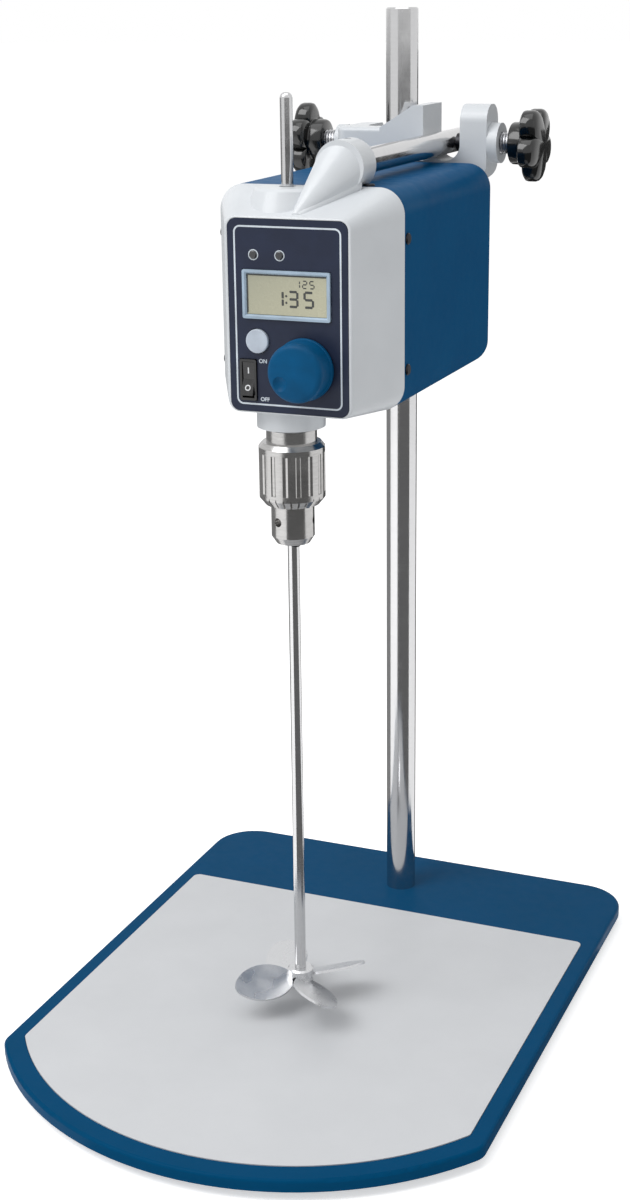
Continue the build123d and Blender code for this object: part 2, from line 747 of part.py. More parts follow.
# Rear cover with its cut-outs and vents
cover_front = seam_y + seat_gap
inlet_place = (inlet_x, head_bottom + inlet_rise)
screw_y = seam_y + cover_screw_setback
cover_left = head_x - head_width / 2
cover_right = head_x + head_width / 2
side_screw_heights = (head_top - upper_screw_drop, head_bottom + lower_screw_rise)
cover_screw_places = (
    [(cover_right, z, Vector(1, 0, 0)) for z in side_screw_heights]
    + [(cover_left, z, Vector(-1, 0, 0)) for z in side_screw_heights]
    + [(head_x + top_screw_offset, head_top, Vector(0, 0, 1))])
with BuildPart() as rear_cover:
    extrude(block(front_plane(cover_front), (head_x, head_z), head_width, head_height, head_corner),
            amount=-(cover_rear - cover_front))
    fillet(rear_cover.faces().sort_by(Axis.Y)[-1].edges(), cover_edge_round)
    extrude(block(front_plane(cover_front), (head_x, head_z), head_width - 2 * cover_wall,
                  head_height - 2 * cover_wall, head_corner - cover_wall),
            amount=-(cover_rear - cover_wall - cover_front), mode=Mode.SUBTRACT)
    extrude(disc(level_plane(head_bottom), (0, shaft_y), collar_diameter + 2 * seat_gap),
            amount=cover_wall, mode=Mode.SUBTRACT)
    extrude(block(front_plane(cover_rear), inlet_place, inlet_body[0] + 2 * panel_gap,
                  inlet_body[1] + 2 * panel_gap), amount=cover_wall, mode=Mode.SUBTRACT)
    for row in range(vent_count):
        vent_place = (head_x, head_top - vent_drop - row * vent_pitch)
        extrude(block(front_plane(cover_rear), vent_place, vent_length, vent_width,
                      vent_width / 2 - 0.01), amount=cover_wall, mode=Mode.SUBTRACT)
    for x, z, direction in cover_screw_places:
        extrude(disc(Plane((x, screw_y, z), x_dir=(0, 1, 0), z_dir=direction), (0, 0),
                     cover_screw_diameter + 2 * panel_gap),
                amount=-2 * cover_wall, mode=Mode.SUBTRACT)
rear_cover.part.label = "rear_cover"
export_step(rear_cover.part, "parts/rear_cover.step")

with BuildPart() as cover_screws:
    for x, z, direction in cover_screw_places:
        seat = Plane((x, screw_y, z), x_dir=(0, 1, 0), z_dir=direction)
        extrude(disc(seat, (0, 0), cover_screw_head), amount=1.2)
        extrude(disc(seat, (0, 0), cover_screw_diameter), amount=-cover_wall)
    chamfer(cover_screws.edges().filter_by(GeomType.CIRCLE).filter_by(
        lambda edge: abs(edge.radius - cover_screw_head / 2) < 0.01)
        .filter_by(lambda edge: edge.center().X > cover_right + 1 or edge.center().X < cover_left - 1
                   or edge.center().Z > head_top + 1), 0.5)
cover_screws.part.label = "cover_screws"
export_step(cover_screws.part, "parts/cover_screws.step")

# Control panel and what looks through it
with BuildPart() as control_panel:
    extrude(block(front_plane(face_y + panel_recess), (head_x, face_z), panel_width, panel_height,
                  panel_corner), amount=panel_thickness)
    extrude(block(front_plane(panel_front), display_centre, display_width + 2 * panel_gap,
                  display_height + 2 * panel_gap), amount=-panel_thickness, mode=Mode.SUBTRACT)
    extrude(block(front_plane(panel_front), on_panel(switch_spot), switch_width + 2 * panel_gap,
                  switch_height + 2 * panel_gap), amount=-panel_thickness, mode=Mode.SUBTRACT)
    extrude(disc(front_plane(panel_front), on_panel(button_spot), button_diameter + 2 * seat_gap),
            amount=-panel_thickness, mode=Mode.SUBTRACT)
    extrude(disc(front_plane(panel_front), on_panel(knob_spot), encoder_shaft_diameter + 4),
            amount=-panel_thickness, mode=Mode.SUBTRACT)
    for spot in light_spots:
        extrude(disc(front_plane(panel_front), on_panel(spot), light_diameter + 2 * panel_gap),
                amount=-panel_thickness, mode=Mode.SUBTRACT)
control_panel.part.label = "control_panel"
export_step(control_panel.part, "parts/control_panel.step")

frame_front = panel_front - display_frame_proud
glass_width = display_width - 2 * display_frame
glass_height = display_height - 2 * display_frame
with BuildPart() as display_bezel:
    extrude(block(front_plane(frame_front), display_centre, display_width, display_height, 1),
            amount=-(wall_back - frame_front))
    extrude(block(front_plane(frame_front), display_centre, glass_width + 2 * panel_gap,
                  glass_height + 2 * panel_gap), amount=-(wall_back - frame_front),
            mode=Mode.SUBTRACT)
    chamfer(display_bezel.faces().sort_by(Axis.Y)[0].inner_wires()[0].edges(), 0.8)
display_bezel.part.label = "display_bezel"
export_step(display_bezel.part, "parts/display_bezel.step")

glass_front = panel_front
glass_back = glass_front + display_glass_thickness
with BuildPart() as display_glass:
    extrude(block(front_plane(glass_front), display_centre, glass_width, glass_height),
            amount=-display_glass_thickness)
display_glass.part.label = "display_glass"
export_step(display_glass.part, "parts/display_glass.step")

with BuildPart() as display_module:
    extrude(block(front_plane(glass_back + panel_gap), display_centre, glass_width, glass_height),
            amount=-(wall_back - glass_back))
    extrude(block(front_plane(wall_back + panel_gap), display_centre, display_width + 2,
                  display_height + 3), amount=-(board_setback - panel_gap))
display_module.part.label = "display_module"
export_step(display_module.part, "parts/display_module.step")

with BuildPart() as indicator_lights:
    for spot in light_spots:
        extrude(disc(front_plane(panel_front - 0.8), on_panel(spot), light_diameter),
                amount=-(board_front - panel_front + 0.8))
    fillet(indicator_lights.faces().group_by(Axis.Y)[0].edges(), 0.7)
indicator_lights.part.label = "indicator_lights"
export_step(indicator_lights.part, "parts/indicator_lights.step")

# Push button on a small switch
button_front = panel_front - button_proud
button_flange_front = wall_back + seat_gap
plunger_front = board_front - 6.0
with BuildPart() as mode_button:
    extrude(disc(front_plane(button_front), on_panel(button_spot), button_diameter),
            amount=-(button_flange_front - button_front))
    fillet(mode_button.faces().sort_by(Axis.Y)[0].edges(), 0.6)
    extrude(disc(front_plane(button_flange_front), on_panel(button_spot), button_diameter + 2.4),
            amount=-1.0)
    extrude(disc(front_plane(button_flange_front + 1), on_panel(button_spot), 4),
            amount=-(plunger_front - button_travel - seat_gap - button_flange_front - 1))
mode_button.part.label = "mode_button"
export_step(mode_button.part, "parts/mode_button.step")

with BuildPart() as mode_switch:
    extrude(block(front_plane(board_front), on_panel(button_spot), 6, 6), amount=4)
    extrude(disc(front_plane(board_front - 4), on_panel(button_spot), 3.4), amount=2)
mode_switch.part.label = "mode_switch"
export_step(mode_switch.part, "parts/mode_switch.step")

# Rocker switch: its case snaps into the panel, its rocker tips about a pin across the case
switch_front = panel_front - switch_proud
switch_back = wall_back + switch_depth
rocker_width = switch_width - 2 * switch_rim - 2 * panel_gap
rocker_height = switch_height - 2 * switch_rim - 2 * panel_gap
rocker_pivot_y = panel_front + 2.6
switch_x, switch_z = on_panel(switch_spot)
with BuildPart() as power_switch_frame:
    extrude(block(front_plane(switch_front), (switch_x, switch_z), switch_width, switch_height, 1),
            amount=-(switch_back - switch_front))
    extrude(block(front_plane(switch_front), (switch_x, switch_z), switch_width - 2 * switch_rim,
                  switch_height - 2 * switch_rim), amount=-(switch_back - switch_front - 1.5),
            mode=Mode.SUBTRACT)
    extrude(disc(side_plane(switch_x), (rocker_pivot_y, switch_z), 1.6 + 2 * running_fit),
            amount=switch_width / 2 - 0.5, both=True, mode=Mode.SUBTRACT)
power_switch_frame.part.label = "power_switch_frame"
export_step(power_switch_frame.part, "parts/power_switch_frame.step")

with BuildPart() as power_rocker:
    half = rocker_height / 2 - 0.6
    with BuildSketch(side_plane(switch_x - rocker_width / 2)) as rocker_side:
        with BuildLine():
            Polyline((switch_front - 0.7, switch_z + half), (switch_front + 0.9, switch_z),
                     (switch_front - 0.7, switch_z - half), (rocker_pivot_y - 0.6, switch_z - half),
                     (rocker_pivot_y + 1.8, switch_z), (rocker_pivot_y - 0.6, switch_z + half),
                     close=True)
        make_face()
        fillet(rocker_side.vertices().filter_by_position(Axis.Y, switch_front - 1, switch_front), 0.6)
    extrude(amount=rocker_width)
    extrude(disc(side_plane(switch_x), (rocker_pivot_y, switch_z), 1.6),
            amount=switch_width / 2 - 0.7, both=True)
rocker_at_rest = power_rocker.part.rotate(
    Axis((0, rocker_pivot_y, switch_z), (1, 0, 0)), -rocker_tilt)
rocker_at_rest.label = "power_rocker"
export_step(rocker_at_rest, "parts/power_rocker.step")

# Speed knob on its encoder
knob_x, knob_z = on_panel(knob_spot)
knob_back = panel_front - knob_gap
knob_front = knob_back - knob_length
knob_bore_depth = knob_length - 4
with BuildPart() as speed_knob:
    with BuildSketch(front_plane(knob_back)):
        with Locations((knob_x, knob_z)):
            Circle(knob_diameter / 2)
            with PolarLocations(knob_diameter / 2 + 0.9, knob_grip_flutes):
                Circle(1.5, mode=Mode.SUBTRACT)
    extrude(amount=knob_length, taper=2)
    extrude(disc(front_plane(knob_back), (knob_x, knob_z), knob_diameter), amount=2.5)
    chamfer(speed_knob.faces().sort_by(Axis.Y)[0].edges(), 0.8)
    dimple_turn = radians(215)
    with Locations((knob_x + dimple_radius * cos(dimple_turn), knob_front - dimple_diameter / 3,
                    knob_z + dimple_radius * sin(dimple_turn))):
        Sphere(dimple_diameter / 2, mode=Mode.SUBTRACT)
    extrude(disc(front_plane(knob_back), (knob_x, knob_z), encoder_shaft_diameter + 2 * running_fit),
            amount=knob_bore_depth, mode=Mode.SUBTRACT)
speed_knob.part.label = "speed_knob"
export_step(speed_knob.part, "parts/speed_knob.step")

encoder_back = wall_back + encoder_depth
with BuildPart() as encoder_shaft:
    extrude(disc(front_plane(encoder_back - 2), (knob_x, knob_z), encoder_shaft_diameter),
            amount=encoder_back - 2 - knob_back + knob_bore_depth - 0.5)
encoder_shaft.part.label = "encoder_shaft"
export_step(encoder_shaft.part, "parts/encoder_shaft.step")

with BuildPart() as speed_encoder:
    extrude(block(front_plane(wall_back), (knob_x, knob_z), encoder_size, encoder_size),
            amount=-encoder_depth)
    extrude(disc(front_plane(wall_back), (knob_x, knob_z), encoder_shaft_diameter + 3.6),
            amount=wall - panel_recess)
    extrude(disc(front_plane(encoder_back - 1.5), (knob_x, knob_z),
                 encoder_shaft_diameter + 2 * running_fit), amount=encoder_depth + wall,
            mode=Mode.SUBTRACT)
speed_encoder.part.label = "speed_encoder"
export_step(speed_encoder.part, "parts/speed_encoder.step")

# Control board, screwed to the bosses behind the panel
board_centre = (head_x, face_z + (board_boss_spots[0][1] + board_boss_spots[2][1]) / 2)
board_screw_head = 5.0
with BuildPart() as control_board:
    extrude(block(front_plane(board_front), board_centre, board_width, board_height),
            amount=-board_thickness)
    for spot in board_boss_spots:
        extrude(disc(front_plane(board_front), (head_x + spot[0], face_z + spot[1]),
                     board_screw_diameter + 2 * thread_gap),
                amount=-board_thickness, mode=Mode.SUBTRACT)
control_board.part.label = "control_board"
export_step(control_board.part, "parts/control_board.step")

with BuildPart() as board_screws:
    for spot in board_boss_spots:
        place = (head_x + spot[0], face_z + spot[1])
        extrude(disc(front_plane(board_back), place, board_screw_head), amount=-1.6)
        extrude(disc(front_plane(board_back), place, board_screw_diameter),
                amount=board_thickness + board_setback - 3)
board_screws.part.label = "board_screws"
export_step(board_screws.part, "parts/board_screws.step")

# Gear plate on the housing's two pillars and two loose ones, with the motor on top
rear_pillar_spots = [(head_x + side * pillar_spread, motor_y + rear_pillar_behind_motor)
                     for side in (-1, 1)]
gear_plate_front = shaft_y - gear_plate_before_spindle
gear_plate_rear = motor_y + gear_plate_behind_motor
motor_screw_spots = [(x, motor_y + y) for x, y in ((-motor_screw_circle / 2, 0),
                                                   (motor_screw_circle / 2, 0),
                                                   (0, motor_screw_circle / 2))]
with BuildPart() as gear_plate:
    extrude(block(level_plane(gear_plate_bottom), (head_x, (gear_plate_front + gear_plate_rear) / 2),
                  gear_plate_width, gear_plate_rear - gear_plate_front, gear_plate_corner),
            amount=gear_plate_thickness)
    extrude(disc(level_plane(gear_plate_bottom), (0, shaft_y), spindle_diameter + 6),
            amount=gear_plate_thickness, mode=Mode.SUBTRACT)
    extrude(disc(level_plane(gear_plate_bottom), (0, motor_y), motor_shaft_diameter + 6),
            amount=gear_plate_thickness, mode=Mode.SUBTRACT)
    extrude(disc(level_plane(gear_plate_bottom), (0, idler_y), idler_stud_diameter),
            amount=gear_plate_thickness, mode=Mode.SUBTRACT)
    for spot in motor_screw_spots:
        extrude(disc(level_plane(gear_plate_bottom), spot, motor_screw_diameter + 2 * thread_gap),
                amount=gear_plate_thickness, mode=Mode.SUBTRACT)
gear_plate.part.label = "gear_plate"
export_step(gear_plate.part, "parts/gear_plate.step")

with BuildPart() as gear_plate_pillars:
    for spot in rear_pillar_spots:
        extrude(disc(level_plane(head_bottom + cover_wall), spot, pillar_diameter),
                amount=gear_plate_bottom - head_bottom - cover_wall)
gear_plate_pillars.part.label = "gear_plate_pillars"
export_step(gear_plate_pillars.part, "parts/gear_plate_pillars.step")

with BuildPart() as motor_body:
    extrude(disc(level_plane(gear_plate_top), (0, motor_y), motor_diameter), amount=motor_length)
    chamfer(motor_body.faces().sort_by(Axis.Z)[-1].edges(), 2)
    extrude(disc(level_plane(gear_plate_top), (0, motor_y), motor_shaft_diameter + 2 * running_fit),
            amount=motor_length - 6, mode=Mode.SUBTRACT)
    for spot in motor_screw_spots:
        extrude(disc(level_plane(gear_plate_top), spot, motor_screw_diameter + 2 * thread_gap),
                amount=6, mode=Mode.SUBTRACT)
motor_body.part.label = "motor_body"
export_step(motor_body.part, "parts/motor_body.step")

with BuildPart() as motor_screws:
    for spot in motor_screw_spots:
        extrude(disc(level_plane(gear_plate_bottom), spot, 5.5), amount=-2)
        extrude(disc(level_plane(gear_plate_bottom), spot, motor_screw_diameter),
                amount=gear_plate_thickness + 5)
motor_screws.part.label = "motor_screws"
export_step(motor_screws.part, "parts/motor_screws.step")


def spur_gear(centre, teeth, first_tooth, hub_diameter, bore):
    """Involute spur gear on the level of the gear train, with one tooth at the first_tooth angle."""
    pitch_radius = gear_module * teeth / 2
    base_radius = pitch_radius * cos(radians(20))
    tip_radius = pitch_radius + gear_module
    root_radius = pitch_radius - 1.25 * gear_module
    flank_start = max(base_radius, root_radius + 0.1)
    pitch_half = pi / (2 * teeth) - tooth_slack / pitch_radius

    def flank_half_angle(radius):
        at_pitch = tan(radians(20)) - radians(20)
        pressure = acos(min(1.0, base_radius / radius))
        return pitch_half + at_pitch - (tan(pressure) - pressure)

    flank_radii = [flank_start + (tip_radius - flank_start) * step / 3 for step in range(4)]
    points = []
    for tooth in range(teeth):
        middle = radians(first_tooth) + 2 * pi * tooth / teeth
        rising = [(r, middle - flank_half_angle(r)) for r in flank_radii]
        falling = [(r, middle + flank_half_angle(r)) for r in reversed(flank_radii)]
        foot = [(root_radius, middle - flank_half_angle(flank_start))]
        heel = [(root_radius, middle + flank_half_angle(flank_start))]
        points += [(centre[0] + r * cos(a), centre[1] + r * sin(a))
                   for r, a in foot + rising + falling + heel]
    with BuildPart() as gear:
        extrude(outline(level_plane(gear_bottom), points), amount=gear_face)
        extrude(disc(level_plane(gear_bottom), centre, hub_diameter), amount=gear_face + 1.5)
        extrude(disc(level_plane(gear_bottom), centre, bore), amount=gear_face + 2,
                mode=Mode.SUBTRACT)
    return gear.part


with BuildPart() as spindle_gear:
    add(spur_gear((0, shaft_y), spindle_teeth, 90, spindle_diameter + 6,
                  spindle_diameter + 2 * running_fit))
spindle_gear.part.label = "spindle_gear"
export_step(spindle_gear.part, "parts/spindle_gear.step")

with BuildPart() as idler_gear:
    add(spur_gear((0, idler_y), idler_teeth, -90 + 180 / idler_teeth, idler_stud_diameter + 4,
                  idler_stud_diameter + 2 * running_fit))
idler_gear.part.label = "idler_gear"
export_step(idler_gear.part, "parts/idler_gear.step")

with BuildPart() as motor_pinion:
    add(spur_gear((0, motor_y), pinion_teeth, -90, motor_shaft_diameter + 4,
                  motor_shaft_diameter + 2 * running_fit))
motor_pinion.part.label = "motor_pinion"
export_step(motor_pinion.part, "parts/motor_pinion.step")

with BuildPart() as motor_shaft:
    extrude(disc(level_plane(gear_bottom), (0, motor_y), motor_shaft_diameter),
            amount=gear_plate_top - gear_bottom + motor_length - 8)
motor_shaft.part.label = "motor_shaft"
export_step(motor_shaft.part, "parts/motor_shaft.step")

with BuildPart() as idler_stud:
    extrude(disc(level_plane(gear_bottom - 0.5), (0, idler_y), idler_stud_diameter),
            amount=gear_plate_top - gear_bottom + 0.5)
    extrude(disc(level_plane(gear_bottom - 0.5), (0, idler_y), idler_stud_diameter + 3), amount=-1)
idler_stud.part.label = "idler_stud"
export_step(idler_stud.part, "parts/idler_stud.step")

# Hollow spindle in its two bearings
spindle_top = upper_bearing_top
spindle_bottom = chuck_top - 12
with BuildPart() as spindle:
    add(turned([(spindle_bore / 2, spindle_bottom), (spindle_diameter / 2, spindle_bottom),
                (spindle_diameter / 2, spindle_top), (spindle_bore / 2, spindle_top)]))
spindle.part.label = "spindle"
export_step(spindle.part, "parts/spindle.step")


def ball_bearing(bottom, outer_diameter):
    """Bearing as one ring with shallow grooves between its races."""
    inner = spindle_diameter / 2 + running_fit
    outer = outer_diameter / 2
    top = bottom + bearing_width
    race_in = inner + (outer - inner) * 0.35
    race_out = inner + (outer - inner) * 0.65
    return turned([(inner, bottom), (race_in, bottom), (race_in, bottom + 0.8),
                   (race_out, bottom + 0.8), (race_out, bottom), (outer, bottom), (outer, top),
                   (race_out, top), (race_out, top - 0.8), (race_in, top - 0.8), (race_in, top),
                   (inner, top)])


with BuildPart() as lower_bearing:
    add(ball_bearing(collar_bottom + bearing_lip, lower_bearing_diameter))
lower_bearing.part.label = "lower_bearing"
export_step(lower_bearing.part, "parts/lower_bearing.step")

with BuildPart() as upper_bearing:
    add(ball_bearing(upper_bearing_bottom, upper_bearing_diameter))
upper_bearing.part.label = "upper_bearing"
export_step(upper_bearing.part, "parts/upper_bearing.step")

# Power inlet at the rear and the supply board on the right wall
inlet_mouth = cover_rear + inlet_flange_thickness
with BuildPart() as mains_inlet:
    extrude(block(front_plane(inlet_mouth), inlet_place, inlet_flange[0], inlet_flange[1], 2),
            amount=inlet_flange_thickness)
    extrude(block(front_plane(cover_rear), inlet_place, inlet_body[0], inlet_body[1], 1),
            amount=inlet_depth)
    extrude(block(front_plane(inlet_mouth), inlet_place, inlet_recess[0], inlet_recess[1], 2),
            amount=inlet_recess_depth, mode=Mode.SUBTRACT)
mains_inlet.part.label = "mains_inlet"
export_step(mains_inlet.part, "parts/mains_inlet.step")

pin_root = inlet_mouth - inlet_recess_depth
with BuildPart() as inlet_pins:
    for column, lift in ((-1, -2), (0, 2), (1, -2)):
        place = (inlet_x + column * inlet_pin_pitch, inlet_place[1] + lift)
        extrude(block(front_plane(pin_root), place, inlet_pin[0], inlet_pin[1]),
                amount=-inlet_pin_length)
inlet_pins.part.label = "inlet_pins"
export_step(inlet_pins.part, "parts/inlet_pins.step")

supply_back_x = cover_right - cover_wall - supply_spacer
supply_front = seam_y + supply_front_gap
supply_rear = cover_rear - inlet_depth - supply_rear_gap
supply_length = supply_rear - supply_front
supply_y = (supply_front + supply_rear) / 2
supply_spots = [(supply_y + y, head_z + z)
                for y in (supply_spacer_inset - supply_length / 2, supply_length / 2 - supply_spacer_inset)
                for z in (supply_spacer_inset - supply_height / 2, supply_height / 2 - supply_spacer_inset)]
with BuildPart() as power_supply:
    extrude(block(side_plane(supply_back_x), (supply_y, head_z), supply_length, supply_height),
            amount=-board_thickness)
    extrude(block(side_plane(supply_back_x - board_thickness),
                  (supply_y + transformer_place[0], head_z + transformer_place[1]),
                  transformer_size[0], transformer_size[1]), amount=-transformer_size[2])
    for spot in capacitor_places:
        extrude(disc(side_plane(supply_back_x - board_thickness), (supply_y + spot[0], head_z + spot[1]),
                     capacitor_diameter), amount=-capacitor_height)
power_supply.part.label = "power_supply"
export_step(power_supply.part, "parts/power_supply.step")

with BuildPart() as supply_spacers:
    for spot in supply_spots:
        extrude(disc(side_plane(supply_back_x), spot, 6), amount=supply_spacer)
supply_spacers.part.label = "supply_spacers"
export_step(supply_spacers.part, "parts/supply_spacers.step")

# Chuck. The jaws run in slanting bores and close on the shaft as the sleeve turns the nut.
slope = radians(jaw_angle)
jaw_tip_z = chuck_nose - jaw_reach
jaw_tip_radius = shaft_radius + jaw_offset
jaw_bore_diameter = jaw_diameter + 2 * running_fit
nut_bottom = sleeve_bottom + seat_gap
nut_top = nut_bottom + nut_height


def jaw_axis_radius(z):
    """Distance of a jaw's centre line from the stirring axis at height z."""
    return jaw_tip_radius + (z - jaw_tip_z) * tan(slope)


def jaw_plane(index):
    """Plane at a jaw's tip whose normal runs up along the jaw."""
    turn = 2 * pi * index / jaw_count + radians(first_key_hole_angle + 180 / jaw_count)
    outward = Vector(cos(turn), sin(turn), 0)
    origin = Vector(0, shaft_y, jaw_tip_z) + outward * jaw_tip_radius
    return Plane(origin, x_dir=(-sin(turn), cos(turn), 0),
                 z_dir=outward * sin(slope) + Vector(0, 0, cos(slope)))


jaw_back = jaw_diameter / 2 / cos(slope) + seat_gap
jaw_clear_top = jaw_tip_z + (jaw_length + jaw_opening_travel + 2) * cos(slope)
nut_outer = jaw_axis_radius(nut_top) + jaw_back + nut_wall
core_radius = jaw_axis_radius(nut_bottom) - 1
pocket_radius = jaw_axis_radius(jaw_clear_top) + jaw_back
nose_radius = nose_diameter / 2
neck_radius = neck_diameter / 2
with BuildPart() as chuck_body:
    add(turned([(chuck_mouth / 2, chuck_nose), (nose_radius - 2.6, chuck_nose),
                (nose_radius, chuck_nose + nose_bevel), (nose_radius, nut_bottom - seat_gap),
                (core_radius, nut_bottom - seat_gap), (core_radius, nut_top + seat_gap),
                (neck_radius, nut_top + seat_gap), (neck_radius, chuck_top - 1),
                (neck_radius - 1, chuck_top),
                (spindle_diameter / 2 + running_fit, chuck_top),
                (spindle_diameter / 2 + running_fit, spindle_bottom - 0.5),
                (chuck_bore / 2, spindle_bottom - 0.5), (chuck_bore / 2, chuck_nose + 14),
                (chuck_mouth / 2, chuck_nose + 6)]))
    for index in range(jaw_count):
        extrude(disc(jaw_plane(index).offset(-3), (0, 0), jaw_bore_diameter),
                amount=jaw_length + jaw_opening_travel + 5, mode=Mode.SUBTRACT)
    for index in range(jaw_count):
        turn = radians(first_key_hole_angle) + 2 * pi * index / jaw_count
        outward = Vector(cos(turn), sin(turn), 0)
        mouth = Vector(0, shaft_y, chuck_nose + key_hole_height) + outward * (nose_radius + 1)
        extrude(disc(Plane(mouth, x_dir=(0, 0, 1), z_dir=outward), (0, 0), key_hole_diameter),
                amount=-(key_hole_depth + 1), mode=Mode.SUBTRACT)
chuck_body.part.label = "chuck_body"
export_step(chuck_body.part, "parts/chuck_body.step")

sleeve_radius = sleeve_diameter / 2
tooth_radius = sleeve_radius - 3.2
with BuildPart() as chuck_sleeve:
    add(turned([(nose_radius + running_fit, sleeve_tip + 1), (nose_radius + running_fit, sleeve_tip),
                (tooth_radius, sleeve_tip),
                (sleeve_radius, sleeve_bottom), (sleeve_radius, sleeve_top),
                (sleeve_radius - 2, sleeve_top + sleeve_top_bevel),
                (neck_radius + running_fit, sleeve_top + sleeve_top_bevel),
                (neck_radius + running_fit, jaw_clear_top + 1), (pocket_radius, jaw_clear_top + 1),
                (pocket_radius, nut_top + seat_gap), (nut_outer, nut_top + seat_gap),
                (nut_outer, nut_bottom - seat_gap),
                (jaw_axis_radius(sleeve_bottom) + jaw_back, nut_bottom - seat_gap)]))
    for index in range(sleeve_teeth):
        turn = 2 * pi * index / sleeve_teeth
        outward = Vector(cos(turn), sin(turn), 0)
        root = Vector(0, shaft_y, sleeve_tip) + outward * tooth_radius
        bevel = (outward * (sleeve_radius - tooth_radius) + Vector(0, 0, sleeve_bevel)).normalized()
        notch = Plane(root - bevel * 2.5, x_dir=(-sin(turn), cos(turn), 0), z_dir=bevel)
        extrude(outline(notch, [(-1.15, -1.2), (0, 1.1), (1.15, -1.2)]), amount=9, mode=Mode.SUBTRACT)
    for index in range(sleeve_flutes):
        turn = 2 * pi * (index + 0.5) / sleeve_flutes
        reach = sleeve_radius + flute_diameter / 2 - flute_depth
        centre = (reach * cos(turn), shaft_y + reach * sin(turn))
        extrude(disc(level_plane(sleeve_bottom + 3), centre, flute_diameter),
                amount=sleeve_length - 6, mode=Mode.SUBTRACT)
chuck_sleeve.part.label = "chuck_sleeve"
export_step(chuck_sleeve.part, "parts/chuck_sleeve.step")

with BuildPart() as chuck_nut:
    add(turned([(jaw_axis_radius(nut_bottom) + jaw_back, nut_bottom), (nut_outer - running_fit, nut_bottom),
                (nut_outer - running_fit, nut_top), (jaw_axis_radius(nut_top) + jaw_back, nut_top)]))
chuck_nut.part.label = "chuck_nut"
export_step(chuck_nut.part, "parts/chuck_nut.step")

for index in range(jaw_count):
    with BuildPart() as chuck_jaw:
        extrude(disc(jaw_plane(index), (0, 0), jaw_diameter), amount=jaw_length)
        turn = 2 * pi * index / jaw_count + radians(first_key_hole_angle + 180 / jaw_count)
        outward = Vector(cos(turn), sin(turn), 0)
        grip = Vector(0, shaft_y, jaw_tip_z) + outward * (shaft_radius + running_fit)
        split(bisect_by=Plane(grip, z_dir=outward), keep=Keep.TOP)
    chuck_jaw.part.label = f"chuck_jaw_{index + 1}"
    export_step(chuck_jaw.part, f"parts/chuck_jaw_{index + 1}.step")

# Stirring shaft and propeller
hub_middle = plate_top + propeller_height
hub_bottom = hub_middle - hub_length / 2
with BuildPart() as stirring_shaft:
    extrude(disc(level_plane(hub_bottom), (0, shaft_y), shaft_diameter), amount=shaft_top - hub_bottom)
    fillet(stirring_shaft.faces().sort_by(Axis.Z)[-1].edges(), shaft_radius - 0.6)
stirring_shaft.part.label = "stirring_shaft"
export_step(stirring_shaft.part, "parts/stirring_shaft.step")

blade_root = hub_diameter / 2 - 1.5
blade_tip = propeller_diameter / 2
with BuildPart() as propeller:
    extrude(disc(level_plane(hub_bottom), (0, shaft_y), hub_diameter), amount=hub_length)
    chamfer(propeller.edges().filter_by(GeomType.CIRCLE), 1)
    for index in range(blade_count):
        turn = 2 * pi * (index + 0.5) / blade_count
        along = Vector(cos(turn), sin(turn), 0)
        across = Vector(-sin(turn), cos(turn), 0)
        tilt = radians(blade_pitch)
        blade_plane = Plane((0, shaft_y, hub_middle), x_dir=along,
                            z_dir=Vector(0, 0, cos(tilt)) + across * sin(tilt))
        widest = blade_root + (blade_tip - blade_root) * 0.6
        with BuildSketch(blade_plane) as petal:
            with BuildLine():
                Line((blade_root, blade_root_width / 2), (blade_root, -blade_root_width / 2))
                ThreePointArc((blade_root, -blade_root_width / 2), (widest, -blade_width / 2),
                              (blade_tip, 0))
                ThreePointArc((blade_tip, 0), (widest, blade_width / 2),
                              (blade_root, blade_root_width / 2))
            make_face()
            fillet(petal.vertices().sort_by_distance((blade_tip, 0, 0))[:1], blade_tip_round)
        extrude(amount=blade_thickness / 2, both=True)
    extrude(disc(level_plane(hub_bottom), (0, shaft_y), shaft_diameter + 2 * running_fit),
            amount=hub_length, mode=Mode.SUBTRACT)
    extrude(disc(Plane((0, shaft_y, hub_middle), x_dir=(0, 0, 1), z_dir=(0, -1, 0)), (0, 0),
                 set_screw_diameter + 2 * thread_gap), amount=hub_diameter, mode=Mode.SUBTRACT)
propeller.part.label = "propeller"
export_step(propeller.part, "parts/propeller.step")

with BuildPart() as hub_set_screw:
    screw_start = Vector(0, shaft_y - shaft_radius - thread_gap, hub_middle)
    extrude(disc(Plane(screw_start, x_dir=(0, 0, 1), z_dir=(0, -1, 0)), (0, 0), set_screw_diameter),
            amount=hub_diameter / 2 - shaft_radius - 0.6)
hub_set_screw.part.label = "hub_set_screw"
export_step(hub_set_screw.part, "parts/hub_set_screw.step")
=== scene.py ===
"""Dresses the overhead stirrer: its finishes, printed marks, screw threads, studio and camera.

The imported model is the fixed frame, in metres. Sizes here are in millimetres until they reach a mesh.
"""

import logging
import math
from dataclasses import dataclass
from enum import Enum
from typing import Callable, ClassVar, Iterable

import bmesh
import bpy
from mathutils import Matrix, Vector


